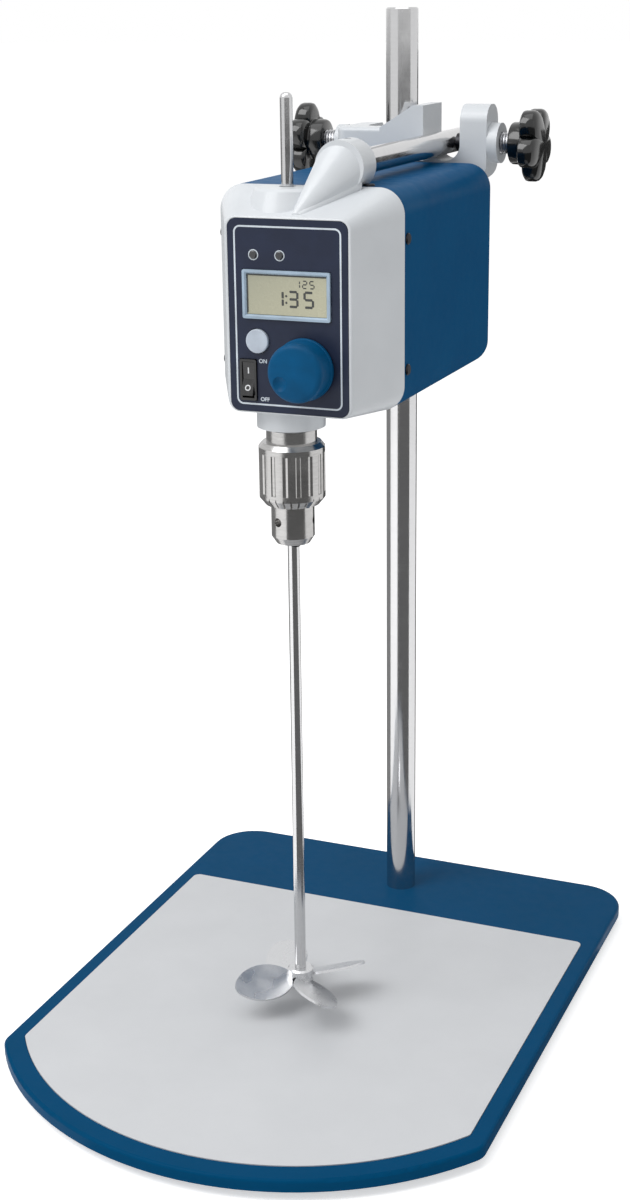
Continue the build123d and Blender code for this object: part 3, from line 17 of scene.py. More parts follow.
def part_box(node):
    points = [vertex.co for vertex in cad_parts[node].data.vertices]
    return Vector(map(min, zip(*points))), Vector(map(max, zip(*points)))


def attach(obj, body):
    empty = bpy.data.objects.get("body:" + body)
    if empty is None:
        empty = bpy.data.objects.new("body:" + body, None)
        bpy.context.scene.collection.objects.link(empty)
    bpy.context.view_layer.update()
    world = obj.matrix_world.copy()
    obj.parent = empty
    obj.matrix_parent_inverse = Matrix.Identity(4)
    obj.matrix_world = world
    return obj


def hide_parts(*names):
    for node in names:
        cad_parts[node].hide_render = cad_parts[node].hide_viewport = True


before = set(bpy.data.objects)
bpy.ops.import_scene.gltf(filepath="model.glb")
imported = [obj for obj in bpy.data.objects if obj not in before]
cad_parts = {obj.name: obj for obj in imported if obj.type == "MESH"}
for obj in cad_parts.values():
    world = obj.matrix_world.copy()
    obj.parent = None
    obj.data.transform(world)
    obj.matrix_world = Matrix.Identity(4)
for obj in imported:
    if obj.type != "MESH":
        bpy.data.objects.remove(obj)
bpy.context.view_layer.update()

log = logging.getLogger("stirrer")
MM = 0.001
PRINT_DEPTH = 0.05
MERGE_GAP = 1e-6
INWARDS = Vector((0.0, 1.0, 0.0))
WHITE = (1.0, 1.0, 1.0, 1.0)
BLACK = (0.0, 0.0, 0.0, 1.0)

Point = tuple[float, float, float]
Shade = tuple[int, int, int]
Socket = bpy.types.NodeSocket
Piece = bpy.types.Object


class Lay(Enum):
    """The way that a metal's machining marks run; the value scales the pattern along X, Y and Z."""

    ROUND_X = (1.0, 0.04, 0.04)
    ROUND_Y = (0.04, 1.0, 0.04)
    ROUND_Z = (0.04, 0.04, 1.0)
    EVEN = (1.0, 1.0, 1.0)


class Facing(Enum):
    """Where a flat mark faces; the value is its turn about X in degrees."""

    FRONT = 90.0
    UP = 0.0


def linear(shade: Shade) -> tuple[float, float, float, float]:
    """Turns a screen shade of 0 to 255 into the linear colour that a shader takes."""
    parts = (c / 255 for c in shade)
    return (*(c / 12.92 if c <= 0.04045 else ((c + 0.055) / 1.055) ** 2.4 for c in parts), 1.0)


def box_of(node: str) -> tuple[Vector, Vector]:
    """Gives the lower and the upper corner of a CAD node's box, in millimetres."""
    low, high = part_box(node)
    return Vector(low) / MM, Vector(high) / MM


def scaled(shade: Shade, factor: float) -> Shade:
    """Makes a shade lighter or darker by a factor."""
    return tuple(max(0, min(255, round(c * factor))) for c in shade)


class Graph:
    """The node graph of one material, built step by step on object coordinates."""

    def __init__(self, name: str) -> None:
        """Starts a material with a plain shader.

        Args:
            name: Name of the finish.
        """
        self.material = bpy.data.materials.new(name)
        self.material.use_nodes = True
        self.nodes = self.material.node_tree.nodes
        self.links = self.material.node_tree.links
        self.shader = self.nodes["Principled BSDF"]
        self.place = self.nodes.new("ShaderNodeTexCoord").outputs["Object"]

    def set(self, **values: object) -> None:
        """Sets sockets of the shader that are the same all over, by name with _ for a space."""
        for name, value in values.items():
            self.shader.inputs[name.replace("_", " ")].default_value = value

    def noise(self, size: float, detail: float = 3.0, lay: Lay = Lay.EVEN) -> Socket:
        """Adds noise of a given grain.

        Args:
            size: Size of one grain in millimetres.
            detail: Number of finer octaves.
            lay: Direction in which the grain is drawn out.

        Returns:
            The noise value, about 0.5 on average.
        """
        mapping = self.nodes.new("ShaderNodeMapping")
        mapping.inputs["Scale"].default_value = lay.value
        texture = self.nodes.new("ShaderNodeTexNoise")
        texture.inputs["Scale"].default_value = 1 / (size * MM)
        texture.inputs["Detail"].default_value = detail
        self.links.new(self.place, mapping.inputs["Vector"])
        self.links.new(mapping.outputs["Vector"], texture.inputs["Vector"])
        return texture.outputs["Fac"]

    def span(self, value: Socket, low: float, high: float, start: float = 0.3,
             end: float = 0.7) -> Socket:
        """Maps a value from start..end to low..high.

        Args:
            value: The value to map.
            low: Result at start.
            high: Result at end.
            start: Lower end of the value.
            end: Upper end of the value.

        Returns:
            The mapped value.
        """
        node = self.nodes.new("ShaderNodeMapRange")
        for name, number in (("From Min", start), ("From Max", end), ("To Min", low), ("To Max", high)):
            node.inputs[name].default_value = number
        self.links.new(value, node.inputs["Value"])
        return node.outputs["Result"]

    def tint(self, factor: Socket, dark: Shade, light: Shade) -> Socket:
        """Mixes two shades by a factor.

        Args:
            factor: Mix factor of 0 to 1.
            dark: Shade at 0.
            light: Shade at 1.

        Returns:
            The mixed colour.
        """
        node = self.nodes.new("ShaderNodeMix")
        node.data_type = "RGBA"
        colours = [s for s in node.inputs if s.type == "RGBA"]
        colours[0].default_value = linear(dark)
        colours[1].default_value = linear(light)
        self.links.new(factor, node.inputs["Factor"])
        return next(s for s in node.outputs if s.type == "RGBA")

    def height(self, *layers: tuple[Socket, float]) -> None:
        """Chains bumps of the given depths onto the shader's normal.

        Args:
            layers: Pairs of a height value and its depth in millimetres.
        """
        normal = None
        for value, depth in layers:
            bump = self.nodes.new("ShaderNodeBump")
            bump.inputs["Strength"].default_value = 1.0
            bump.inputs["Distance"].default_value = depth * MM
            self.links.new(value, bump.inputs["Height"])
            if normal is not None:
                self.links.new(normal, bump.inputs["Normal"])
            normal = bump.outputs["Normal"]
        self.links.new(normal, self.shader.inputs["Normal"])

    def feed(self, name: str, value: Socket) -> None:
        """Feeds a value that varies into a socket of the shader."""
        self.links.new(value, self.shader.inputs[name])

    def axis(self, index: int) -> Socket:
        """Gives one object coordinate, in metres: 0 for X, 1 for Y, 2 for Z."""
        node = self.nodes.new("ShaderNodeSeparateXYZ")
        self.links.new(self.place, node.inputs["Vector"])
        return node.outputs[index]


@dataclass(frozen=True)
class Finish:
    """What every finish has: a name, its record slot and its shade."""

    name: str
    slot: str
    shade: Shade

    made: ClassVar[dict[str, bpy.types.Material]] = {}

    def material(self) -> bpy.types.Material:
        """Gives the finish's material, made once."""
        if self.name not in self.made:
            graph = Graph(self.name)
            self.lay_out(graph)
            self.made[self.name] = graph.material
        return self.made[self.name]

    def lay_out(self, graph: Graph) -> None:
        """Builds the finish's nodes; each kind of finish has its own."""
        raise NotImplementedError


@dataclass(frozen=True)
class Enamel(Finish):
    """Stoved paint on steel or a casting, with a fine orange peel."""

    roughness: float = 0.35
    peel: float = 0.9
    peel_depth: float = 0.012
    coat: float = 0.3
    cloud: float = 0.02
    gloss: float = 0.5

    cloud_size: ClassVar[float] = 38.0
    wear_size: ClassVar[float] = 7.0
    wave: ClassVar[float] = 9.0

    def lay_out(self, graph: Graph) -> None:
        """Lays a faintly uneven colour, a fine peel and a thin clear coat."""
        cloud = graph.span(graph.noise(self.cloud_size), 0.0, 1.0)
        graph.feed("Base Color", graph.tint(cloud, scaled(self.shade, 1 - self.cloud),
                                            scaled(self.shade, 1 + self.cloud)))
        graph.feed("Roughness", graph.span(graph.noise(self.wear_size), self.roughness - 0.04,
                                           self.roughness + 0.05))
        graph.set(Coat_Weight=self.coat, Coat_Roughness=0.12, Specular_IOR_Level=self.gloss)
        graph.height((graph.noise(self.peel, 2.0), self.peel_depth),
                     (graph.noise(self.wave, 1.0), self.peel_depth))


@dataclass(frozen=True)
class Steel(Finish):
    """Bare metal with machining marks that run one way."""

    lay: Lay = Lay.EVEN
    roughness: float = 0.24
    grain: float = 0.35
    grain_depth: float = 0.0003
    contrast: float = 0.05

    stain_size: ClassVar[float] = 14.0

    def lay_out(self, graph: Graph) -> None:
        """Lays drawn-out marks in colour, gloss and height, with a few larger stains."""
        marks = graph.noise(self.grain, 4.0, self.lay)
        stains = graph.noise(self.stain_size, 2.0)
        graph.feed("Base Color", graph.tint(graph.span(marks, 0.0, 1.0),
                                            scaled(self.shade, 1 - self.contrast),
                                            scaled(self.shade, 1 + self.contrast)))
        graph.feed("Roughness", graph.span(stains, self.roughness - 0.04, self.roughness + 0.06))
        graph.set(Metallic=1.0)
        graph.height((marks, self.grain_depth))


@dataclass(frozen=True)
class Moulding(Finish):
    """Moulded plastic or rubber with a fine mould grain."""

    roughness: float = 0.35
    grain: float = 0.5
    grain_depth: float = 0.006
    coat: float = 0.0
    gloss: float = 0.5

    flow_size: ClassVar[float] = 11.0
    scuff_size: ClassVar[float] = 4.0

    def lay_out(self, graph: Graph) -> None:
        """Lays flow clouds, a fine grain and scuffed gloss."""
        flow = graph.span(graph.noise(self.flow_size), 0.0, 1.0)
        graph.feed("Base Color", graph.tint(flow, scaled(self.shade, 0.94), scaled(self.shade, 1.07)))
        graph.feed("Roughness", graph.span(graph.noise(self.scuff_size, 4.0),
                                           self.roughness - 0.05, self.roughness + 0.07))
        graph.set(Coat_Weight=self.coat, Coat_Roughness=0.08, Specular_IOR_Level=self.gloss)
        graph.height((graph.noise(self.grain, 2.0), self.grain_depth))


@dataclass(frozen=True)
class Crystal(Finish):
    """Liquid crystal window, darker towards its upper left corner."""

    pale: Shade = (190, 187, 160)
    share_across: float = 0.6
    share_down: float = 0.4

    def lay_out(self, graph: Graph) -> None:
        """Lays a slanting gradient under a glossy front."""
        low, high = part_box("display_glass")
        across = graph.span(graph.axis(0), 0.0, self.share_across, low[0], high[0])
        down = graph.span(graph.axis(2), self.share_down, 0.0, low[2], high[2])
        total = graph.nodes.new("ShaderNodeMath")
        total.operation = "ADD"
        graph.links.new(across, total.inputs[0])
        graph.links.new(down, total.inputs[1])
        graph.feed("Base Color", graph.tint(total.outputs[0], self.shade, self.pale))
        graph.feed("Roughness", graph.span(graph.noise(3.0), 0.22, 0.30))
        graph.set(Coat_Weight=0.5, Coat_Roughness=0.05)
        graph.height((graph.noise(2.0, 1.0), 0.001))


@dataclass(frozen=True)
class Laminate(Finish):
    """Circuit board laminate with darker tracks under its resist."""

    track_pitch: ClassVar[float] = 3.0

    def lay_out(self, graph: Graph) -> None:
        """Lays a cell pattern of tracks with raised edges."""
        cells = graph.nodes.new("ShaderNodeTexVoronoi")
        cells.distance = "CHEBYCHEV"
        cells.inputs["Scale"].default_value = 1 / (self.track_pitch * MM)
        graph.links.new(graph.place, cells.inputs["Vector"])
        tracks = graph.span(cells.outputs["Distance"], 0.0, 1.0, 0.3, 0.36)
        graph.feed("Base Color", graph.tint(tracks, scaled(self.shade, 1.25), self.shade))
        graph.feed("Roughness", graph.span(graph.noise(5.0), 0.3, 0.42))
        graph.height((tracks, 0.03))


BLUE_PLATE = Enamel("blue_plate_enamel", "blue_enamel", (0, 70, 110), roughness=0.42,
                    peel_depth=0.005, coat=0.0, gloss=0.03)
BLUE_COVER = Enamel("blue_cover_enamel", "blue_enamel", (0, 77, 122), roughness=0.38, peel=1.1,
                    peel_depth=0.006, coat=0.0, gloss=0.02)
SHEET = Enamel("grey_sheet_coat", "grey_sheet", (208, 210, 213), roughness=0.5, peel=0.5, coat=0.1,
               cloud=0.01)
CASTING = Enamel("painted_casting", "grey_casting", (206, 210, 214), roughness=0.40, peel=0.8,
                 peel_depth=0.014, cloud=0.02)
PANEL = Moulding("printed_panel_film", "navy_panel", (28, 36, 58), roughness=0.38, grain=0.25,
                 gloss=0.3)
PRINT = Moulding("pale_panel_print", "navy_panel", (205, 214, 222), roughness=0.45, grain=0.2)
LCD_FRAME = Moulding("display_frame_moulding", "frame_plastic", (158, 178, 195), roughness=0.4)
LCD = Crystal("liquid_crystal", "display_window", (160, 160, 140))
# Dark colour of the display's digits, also used for the painted shadow along the window's upper and left
# rim.
LCD_PRINT_AND_SHADE = Moulding("dark_crystal_print_and_painted_shade", "display_window", (62, 64, 62), roughness=0.3)
BUTTON = Moulding("pale_button", "button_plastic", (186, 196, 208), roughness=0.4)
SWITCH_MARK = Moulding("white_switch_mark", "switch_plastic", (225, 228, 230), roughness=0.4)
LENS = Moulding("dark_light_lens", "light_lens", (26, 28, 34), roughness=0.12, coat=0.8)
SWITCH = Moulding("black_switch", "switch_plastic", (14, 15, 18), roughness=0.22, coat=0.3)
KNOB_BLUE = Moulding("blue_knob_moulding", "knob_blue", (0, 76, 118), roughness=0.42, grain=0.7,
                     gloss=0.12)
BLACK_KNOB = Moulding("black_thermoset", "black_plastic", (7, 8, 9), roughness=0.14, coat=0.3)
RUBBER = Moulding("black_rubber", "black_rubber", (24, 24, 26), roughness=0.75, grain_depth=0.03)
INLET = Moulding("black_inlet_moulding", "inlet_plastic", (18, 18, 20), roughness=0.38)
BOARD = Laminate("green_laminate", "circuit_board", (20, 92, 52))
UPRIGHT_STEEL = Steel("upright_ground_steel", "stainless_steel", (200, 200, 201), lay=Lay.ROUND_Z,
                      roughness=0.13, contrast=0.02)
LEVEL_STEEL = Steel("level_ground_steel", "stainless_steel", (200, 200, 201), lay=Lay.ROUND_Y,
                    roughness=0.13, contrast=0.03)
BLADE_STEEL = Steel("pressed_blade_steel", "stainless_steel", (205, 206, 208), lay=Lay.EVEN,
                    roughness=0.28)
CHUCK_STEEL = Steel("ground_chuck_steel", "chuck_steel", (176, 175, 174), lay=Lay.ROUND_Z,
                    roughness=0.2, grain=0.25, contrast=0.07)
ZINC = Steel("zinc_plated_steel", "zinc_steel", (196, 198, 204), roughness=0.32)
THREAD = Steel("bright_screw_thread", "screw_steel", (186, 187, 190), lay=Lay.ROUND_X)
OXIDE = Steel("black_oxide_steel", "black_oxide", (52, 52, 55), roughness=0.34)
BEARING = Steel("ground_bearing_steel", "bearing_steel", (205, 205, 208), lay=Lay.ROUND_Z,
                roughness=0.18)
GEAR = Steel("machined_gear_steel", "gear_steel", (170, 170, 172), lay=Lay.ROUND_Z)
BRASS = Steel("brass_pin", "brass_pins", (212, 184, 112), roughness=0.25)


class Bench:
    """Modelling moves that every new piece uses."""

    @staticmethod
    def clear() -> None:
        """Leaves edit mode and deselects everything."""
        if bpy.context.object and bpy.context.object.mode != "OBJECT":
            bpy.ops.object.mode_set(mode="OBJECT")
        bpy.ops.object.select_all(action="DESELECT")

    @staticmethod
    def settle(piece: Piece, name: str) -> Piece:
        """Names a piece and puts its place and turn into its mesh.

        Args:
            piece: The piece, in object mode.
            name: Name of the piece.

        Returns:
            The same piece, with its object at the origin.
        """
        piece.name = name
        Bench.pick(piece)
        bpy.ops.object.transform_apply(location=True, rotation=True, scale=True)
        return piece

    @staticmethod
    def pick(piece: Piece) -> None:
        """Makes a piece the only selected one."""
        Bench.clear()
        piece.select_set(True)
        bpy.context.view_layer.objects.active = piece

    @staticmethod
    def edit(piece: Piece) -> None:
        """Opens a piece in edit mode with nothing selected."""
        Bench.pick(piece)
        bpy.ops.object.mode_set(mode="EDIT")
        bpy.ops.mesh.select_all(action="DESELECT")

    @staticmethod
    def choose(piece: Piece, kind: str, test: Callable[[object], bool]) -> int:
        """Selects vertices, edges or faces of the piece in edit mode.

        Args:
            piece: The piece that is open in edit mode.
            kind: VERT, EDGE or FACE.
            test: Says whether an element is wanted.

        Returns:
            How many elements were selected.
        """
        bpy.ops.mesh.select_mode(type=kind)
        bpy.ops.mesh.select_all(action="DESELECT")
        mesh = bmesh.from_edit_mesh(piece.data)
        mesh.normal_update()
        wanted = [e for e in {"VERT": mesh.verts, "EDGE": mesh.edges, "FACE": mesh.faces}[kind] if test(e)]
        for element in wanted:
            element.select_set(True)
        mesh.select_flush_mode()
        bmesh.update_edit_mesh(piece.data)
        return len(wanted)

    @staticmethod
    def close(piece: Piece, smooth: float = 35.0) -> Piece:
        """Leaves edit mode, turns faces outwards and smooths gentle angles.

        Args:
            piece: The piece that is open in edit mode.
            smooth: Largest angle in degrees that is shaded smooth.

        Returns:
            The same piece in object mode.
        """
        bpy.ops.mesh.select_all(action="SELECT")
        bpy.ops.mesh.remove_doubles(threshold=MERGE_GAP)
        bpy.ops.mesh.normals_make_consistent(inside=False)
        bpy.ops.object.mode_set(mode="OBJECT")
        bpy.ops.object.shade_smooth_by_angle(angle=math.radians(smooth))
        return piece

    @staticmethod
    def apply(piece: Piece, kind: str, **settings: object) -> None:
        """Adds a modifier and applies it.

        Args:
            piece: The piece in object mode.
            kind: Modifier type.
            settings: Modifier settings by name.
        """
        Bench.pick(piece)
        modifier = piece.modifiers.new(kind.lower(), kind)
        for name, value in settings.items():
            setattr(modifier, name, value)
        bpy.ops.object.modifier_apply(modifier=modifier.name)

    @staticmethod
    def lathe(name: str, profile: list[tuple[float, float]], columns: int = 120,
              reach: Callable[[float], float] = lambda turn: 1.0) -> Piece:
        """Wraps a grid round the Z axis to a closed turned shape.

        Args:
            name: Name of the piece.
            profile: (height, radius) points in millimetres that start and end on the axis.
            columns: Faces round the axis.
            reach: Share of the radius at each turn in radians, for lobes.

        Returns:
            The closed piece at the origin.
        """
        Bench.clear()
        rows = len(profile) - 1
        bpy.ops.mesh.primitive_grid_add(x_subdivisions=columns, y_subdivisions=rows, size=1.0)
        piece = bpy.context.object
        piece.name = name
        for corner in piece.data.vertices:
            turn = (corner.co.x + 0.5) * math.tau
            along, out = profile[round((corner.co.y + 0.5) * rows)]
            out *= reach(turn)
            corner.co = Vector((math.cos(turn) * out, math.sin(turn) * out, along)) * MM
        Bench.edit(piece)
        return Bench.close(piece)

    @staticmethod
    def touch(node: str, start: Vector, aim: Vector) -> tuple[Vector, Vector]:
        """Finds where a line meets a CAD node.

        Args:
            node: Name of the node.
            start: A point in front of it, in millimetres.
            aim: Direction of the line.

        Returns:
            The place in millimetres and the outward normal there.
        """
        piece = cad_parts[node]
        back = piece.matrix_world.inverted()
        hit, place, normal, _ = piece.ray_cast(back @ (start * MM), back.to_3x3() @ aim)
        if not hit:
            raise ValueError(f"nothing of {node} behind {tuple(start)}")
        return piece.matrix_world @ place / MM, (piece.matrix_world.to_3x3() @ normal).normalized()

    @staticmethod
    def lay_on(piece: Piece, node: str, start: Vector, aim: Vector) -> Piece:
        """Lays a mark that faces up at the origin onto the surface of a CAD node.

        Args:
            piece: The mark.
            node: Name of the node.
            start: A point in front of the node, in millimetres.
            aim: Direction in which the mark is pushed.

        Returns:
            The same mark, on the surface.
        """
        place, normal = Bench.touch(node, start, aim)
        across = Vector((1.0, 0.0, 0.0))
        across = (across - normal * across.dot(normal)).normalized()
        turn = Matrix((across, normal.cross(across), normal)).transposed().to_4x4()
        piece.matrix_world = Matrix.Translation(place * MM) @ turn
        return Bench.settle(piece, piece.name)

    @staticmethod
    def join(pieces: list[Piece], name: str) -> Piece:
        """Joins pieces into one.

        Args:
            pieces: The pieces, each with its own mesh.
            name: Name of the joined piece.

        Returns:
            The joined piece.
        """
        Bench.clear()
        for piece in pieces:
            piece.select_set(True)
        bpy.context.view_layer.objects.active = pieces[0]
        if len(pieces) > 1:
            bpy.ops.object.join()
        pieces[0].name = name
        return pieces[0]

    @staticmethod
    def mount(piece: Piece, finish: Finish, body: str, replaced: Iterable[str] = ()) -> Piece:
        """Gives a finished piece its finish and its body.

        Args:
            piece: The piece.
            finish: Its finish.
            body: The CAD body that it moves with.
            replaced: CAD nodes that it stands for.

        Returns:
            The same piece.
        """
        piece.data.materials.clear()
        piece.data.materials.append(finish.material())
        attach(piece, body)
        if replaced:
            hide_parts(*replaced)
        log.info("%s on %s, %d faces", piece.name, body, len(piece.data.polygons))
        return piece


def dress(nodes: dict[str, Finish]) -> None:
    """Gives CAD nodes their finishes.

    Args:
        nodes: A finish for each node's name.
    """
    for name, finish in nodes.items():
        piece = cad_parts[name]
        if not piece.material_slots:
            raise ValueError(f"node {name} has no material slot")
        for place in piece.material_slots:
            place.material = finish.material()
        log.info("%s has %s", name, finish.name)


@dataclass
class Marks:
    """Flat printed marks that stand a hair proud of the surface they are on."""

    facing: Facing = Facing.FRONT

    DISC_SIDES: ClassVar[int] = 48
    CORNER_STEPS: ClassVar[int] = 8
    CAPITAL_SHARE: ClassVar[float] = 0.69
    STROKE_GAIN: ClassVar[float] = 0.04

    def plate(self, name: str, centre: Point, width: float, height: float, corner: float = 0.0,
              line: float = 0.0) -> Piece:
        """Makes a rectangle, or its outline where a line width is given.

        Args:
            name: Name of the mark.
            centre: Middle of the mark, in millimetres.
            width: Width in millimetres.
            height: Height in millimetres.
            corner: Radius of the corners.
            line: Width of the outline, or 0 for a filled mark.

        Returns:
            The finished mesh.
        """
        Bench.clear()
        bpy.ops.mesh.primitive_plane_add(size=MM)
        piece = bpy.context.object
        piece.scale = (width, height, 1.0)
        bpy.ops.object.transform_apply(scale=True)
        Bench.edit(piece)
        if corner:
            bpy.ops.mesh.select_all(action="SELECT")
            bpy.ops.mesh.bevel(offset=corner * MM, segments=self.CORNER_STEPS, affect="VERTICES")
        return self.thicken(piece, name, centre, line)

    def disc(self, name: str, centre: Point, diameter: float, line: float = 0.0) -> Piece:
        """Makes a round mark, or a ring where a line width is given.

        Args:
            name: Name of the mark.
            centre: Middle of the mark, in millimetres.
            diameter: Outer diameter in millimetres.
            line: Width of the ring, or 0 for a filled disc.

        Returns:
            The finished mesh.
        """
        Bench.clear()
        bpy.ops.mesh.primitive_circle_add(vertices=self.DISC_SIDES, radius=diameter / 2 * MM,
                                          fill_type="NGON")
        piece = bpy.context.object
        Bench.edit(piece)
        return self.thicken(piece, name, centre, line)

    def word(self, name: str, centre: Point, text: str, height: float) -> Piece:
        """Makes a word or a number in plain type.

        Args:
            name: Name of the mark.
            centre: Middle of the text, in millimetres.
            text: The letters.
            height: Height of a capital in millimetres.

        Returns:
            The finished mesh.
        """
        Bench.clear()
        bpy.ops.object.text_add()
        piece = bpy.context.object
        piece.data.body = text
        piece.data.size = height * MM / self.CAPITAL_SHARE
        piece.data.align_x = "CENTER"
        piece.data.align_y = "CENTER"
        piece.data.offset = self.STROKE_GAIN * height * MM
        bpy.ops.object.convert(target="MESH")
        Bench.edit(piece)
        return self.thicken(piece, name, centre, 0.0)

    def thicken(self, piece: Piece, name: str, centre: Point, line: float) -> Piece:
        """Turns a flat face that is open in edit mode into a thin mark at its place.

        Args:
            piece: The flat piece, in edit mode.
            name: Name of the mark.
            centre: Middle of the mark, in millimetres.
            line: Width of its outline, or 0 to keep it whole.

        Returns:
            The finished mesh.
        """
        if line:
            bpy.ops.mesh.select_all(action="SELECT")
            bpy.ops.mesh.inset(thickness=line * MM)
            bpy.ops.mesh.delete(type="FACE")
        bpy.ops.mesh.select_all(action="SELECT")
        bpy.ops.mesh.extrude_region_move(TRANSFORM_OT_translate={"value": (0, 0, PRINT_DEPTH * MM)})
        Bench.close(piece)
        piece.rotation_euler = (math.radians(self.facing.value), 0.0, 0.0)
        piece.location = Vector(centre) * MM
        return Bench.settle(piece, name)


@dataclass
class Digits:
    """Numbers of seven-bar digits, as a liquid crystal shows them."""

    marks: Marks
    height: float
    width: float
    bar: float
    gap: float = 0.25
    roundness: float = 0.35

    BARS: ClassVar[dict[str, str]] = {"1": "bc", "2": "abged", "3": "abgcd", "5": "afgcd"}

    def digit(self, figure: str, left: float, top: float, front: float) -> list[Piece]:
        """Makes the lit bars of one digit.

        Args:
            figure: The digit.
            left: Left edge in millimetres.
            top: Top edge in millimetres.
            front: Depth of the surface in millimetres.

        Returns:
            One mesh for each lit bar.
        """
        middle, right, bottom = left + self.width / 2, left + self.width, top - self.height
        half, centre = self.height / 2, top - self.height / 2
        wide = (self.width - 2 * self.gap, self.bar)
        tall = (self.bar, half - 2 * self.gap)
        spots = {"a": (middle, top, *wide), "g": (middle, centre, *wide), "d": (middle, bottom, *wide),
                 "f": (left, top - half / 2, *tall), "b": (right, top - half / 2, *tall),
                 "e": (left, bottom + half / 2, *tall), "c": (right, bottom + half / 2, *tall)}
        return [self.marks.plate(f"bar_{bar}", (across, front, up), *size,
                                 corner=self.roundness * self.bar)
                for bar, (across, up, *size) in ((bar, spots[bar]) for bar in self.BARS[figure])]


@dataclass
class Stand:
    """The plate on its feet and the pole that is bolted to it."""

    def build(self) -> None:
        """Dresses the stand."""
        dress({"base_plate": BLUE_PLATE, "work_surface": SHEET, "rubber_feet": RUBBER, "foot_screws": ZINC,
               "pole": UPRIGHT_STEEL, "pole_bolt": ZINC, "pole_washer": ZINC})


@dataclass
class ClampScrew:
    """A clamping screw with a cut thread; it stands for the plain CAD screw."""

    node: str
    body: str
    pitch: float = 1.75
    depth: float = 0.75
    crest: float = 0.25
    steps: int = 40

    def build(self) -> None:
        """Winds one pitch of the thread's profile along the screw and closes its ends."""
        low, high = box_of(self.node)
        radius = (high.z - low.z) / 2
        root = radius - self.depth
        flank = (1 - 2 * self.crest) / 2 * self.pitch
        turns = math.floor((high.x - low.x) / self.pitch) - 1
        start = (high.x + low.x - (turns + 1) * self.pitch) / 2
        flat = self.crest * self.pitch
        outline = [(0.0, root), (flank, radius), (flank + flat, radius), (2 * flank + flat, root),
                   (self.pitch, root)]
        Bench.clear()
        bpy.ops.mesh.primitive_circle_add(vertices=len(outline), radius=MM)
        piece = bpy.context.object
        Bench.edit(piece)
        mesh = bmesh.from_edit_mesh(piece.data)
        corners = sorted(mesh.verts, key=lambda corner: corner.index)
        for corner, (along, out) in zip(corners, outline):
            corner.co = ((start + along) * MM, 0.0, out * MM)
        first, last = corners[0], corners[-1]
        mesh.edges.remove(next(e for e in first.link_edges if e.other_vert(first) == last))
        bmesh.update_edit_mesh(piece.data)
        bpy.ops.object.mode_set(mode="OBJECT")
        Bench.apply(piece, "SCREW", axis="X", screw_offset=self.pitch * MM, iterations=turns,
                    steps=self.steps, render_steps=self.steps, use_merge_vertices=True,
                    merge_threshold=MERGE_GAP)
        Bench.edit(piece)
        self.close_ends(piece, low.x, high.x)
        Bench.close(piece, 30.0)
        piece.location = (0.0, (low.y + high.y) / 2 * MM, (low.z + high.z) / 2 * MM)
        Bench.settle(piece, f"{self.node}_thread")
        Bench.mount(piece, THREAD, self.body, [self.node])

    def close_ends(self, piece: Piece, left: float, right: float) -> None:
        """Draws each open end out to the screw's end and closes it.

        Args:
            piece: The wound thread, open in edit mode.
            left: X of the left end in millimetres.
            right: X of the right end in millimetres.
        """
        middle = (left + right) / 2 * MM
        for side, end in ((-1, left), (1, right)):
            Bench.choose(piece, "EDGE", lambda e: e.is_boundary
                         and (e.verts[0].co.x - middle) * side > 0)
            bpy.ops.mesh.extrude_edges_move()
            mesh = bmesh.from_edit_mesh(piece.data)
            for corner in (v for v in mesh.verts if v.select):
                corner.co.x = end * MM
            bmesh.update_edit_mesh(piece.data)
            bpy.ops.mesh.edge_face_add()


@dataclass
class StarKnob:
    """A five-lobed star knob with a domed face; it stands for the plainer CAD knob."""

    node: str
    screw: str
    body: str
    radius: float = 21.6
    waist: float = 0.66
    lobes: int = 5
    fullness: float = 0.7
    columns: int = 200

    HUB: ClassVar[list[tuple[float, float]]] = [
        (0.0, 0.0), (0.0, 10.4), (0.5, 11.5), (1.5, 12.0), (7.6, 12.2), (8.6, 13.2), (9.0, 0.0)]
    STAR: ClassVar[list[tuple[float, float]]] = [
        (8.0, 0.0), (8.0, 0.80), (8.4, 0.91), (9.4, 0.98), (10.8, 1.0), (15.0, 1.0), (16.6, 0.975),
        (17.9, 0.91), (18.8, 0.80), (19.5, 0.60), (19.9, 0.35), (20.0, 0.0)]

    def build(self) -> None:
        """Turns the hub and the lobed head and sets them on the screw's axis."""
        low, high = box_of(self.node)
        screw_low, screw_high = box_of(self.screw)
        side = math.copysign(1.0, low.x + high.x)
        inner = low.x if side > 0 else high.x
        hub = Bench.lathe("hub", self.HUB)
        star = Bench.lathe("star", [(along, share * self.radius) for along, share in self.STAR],
                           self.columns,
                           lambda turn: self.waist + (1 - self.waist)
                           * abs(math.cos(self.lobes / 2 * turn)) ** self.fullness)
        knob = Bench.join([star, hub], f"{self.node}_star")
        knob.rotation_euler = (0.0, side * math.pi / 2, 0.0)
        knob.location = Vector((inner, (screw_low.y + screw_high.y) / 2,
                                (screw_low.z + screw_high.z) / 2)) * MM
        Bench.settle(knob, knob.name)
        Bench.mount(knob, BLACK_KNOB, self.body, [self.node])


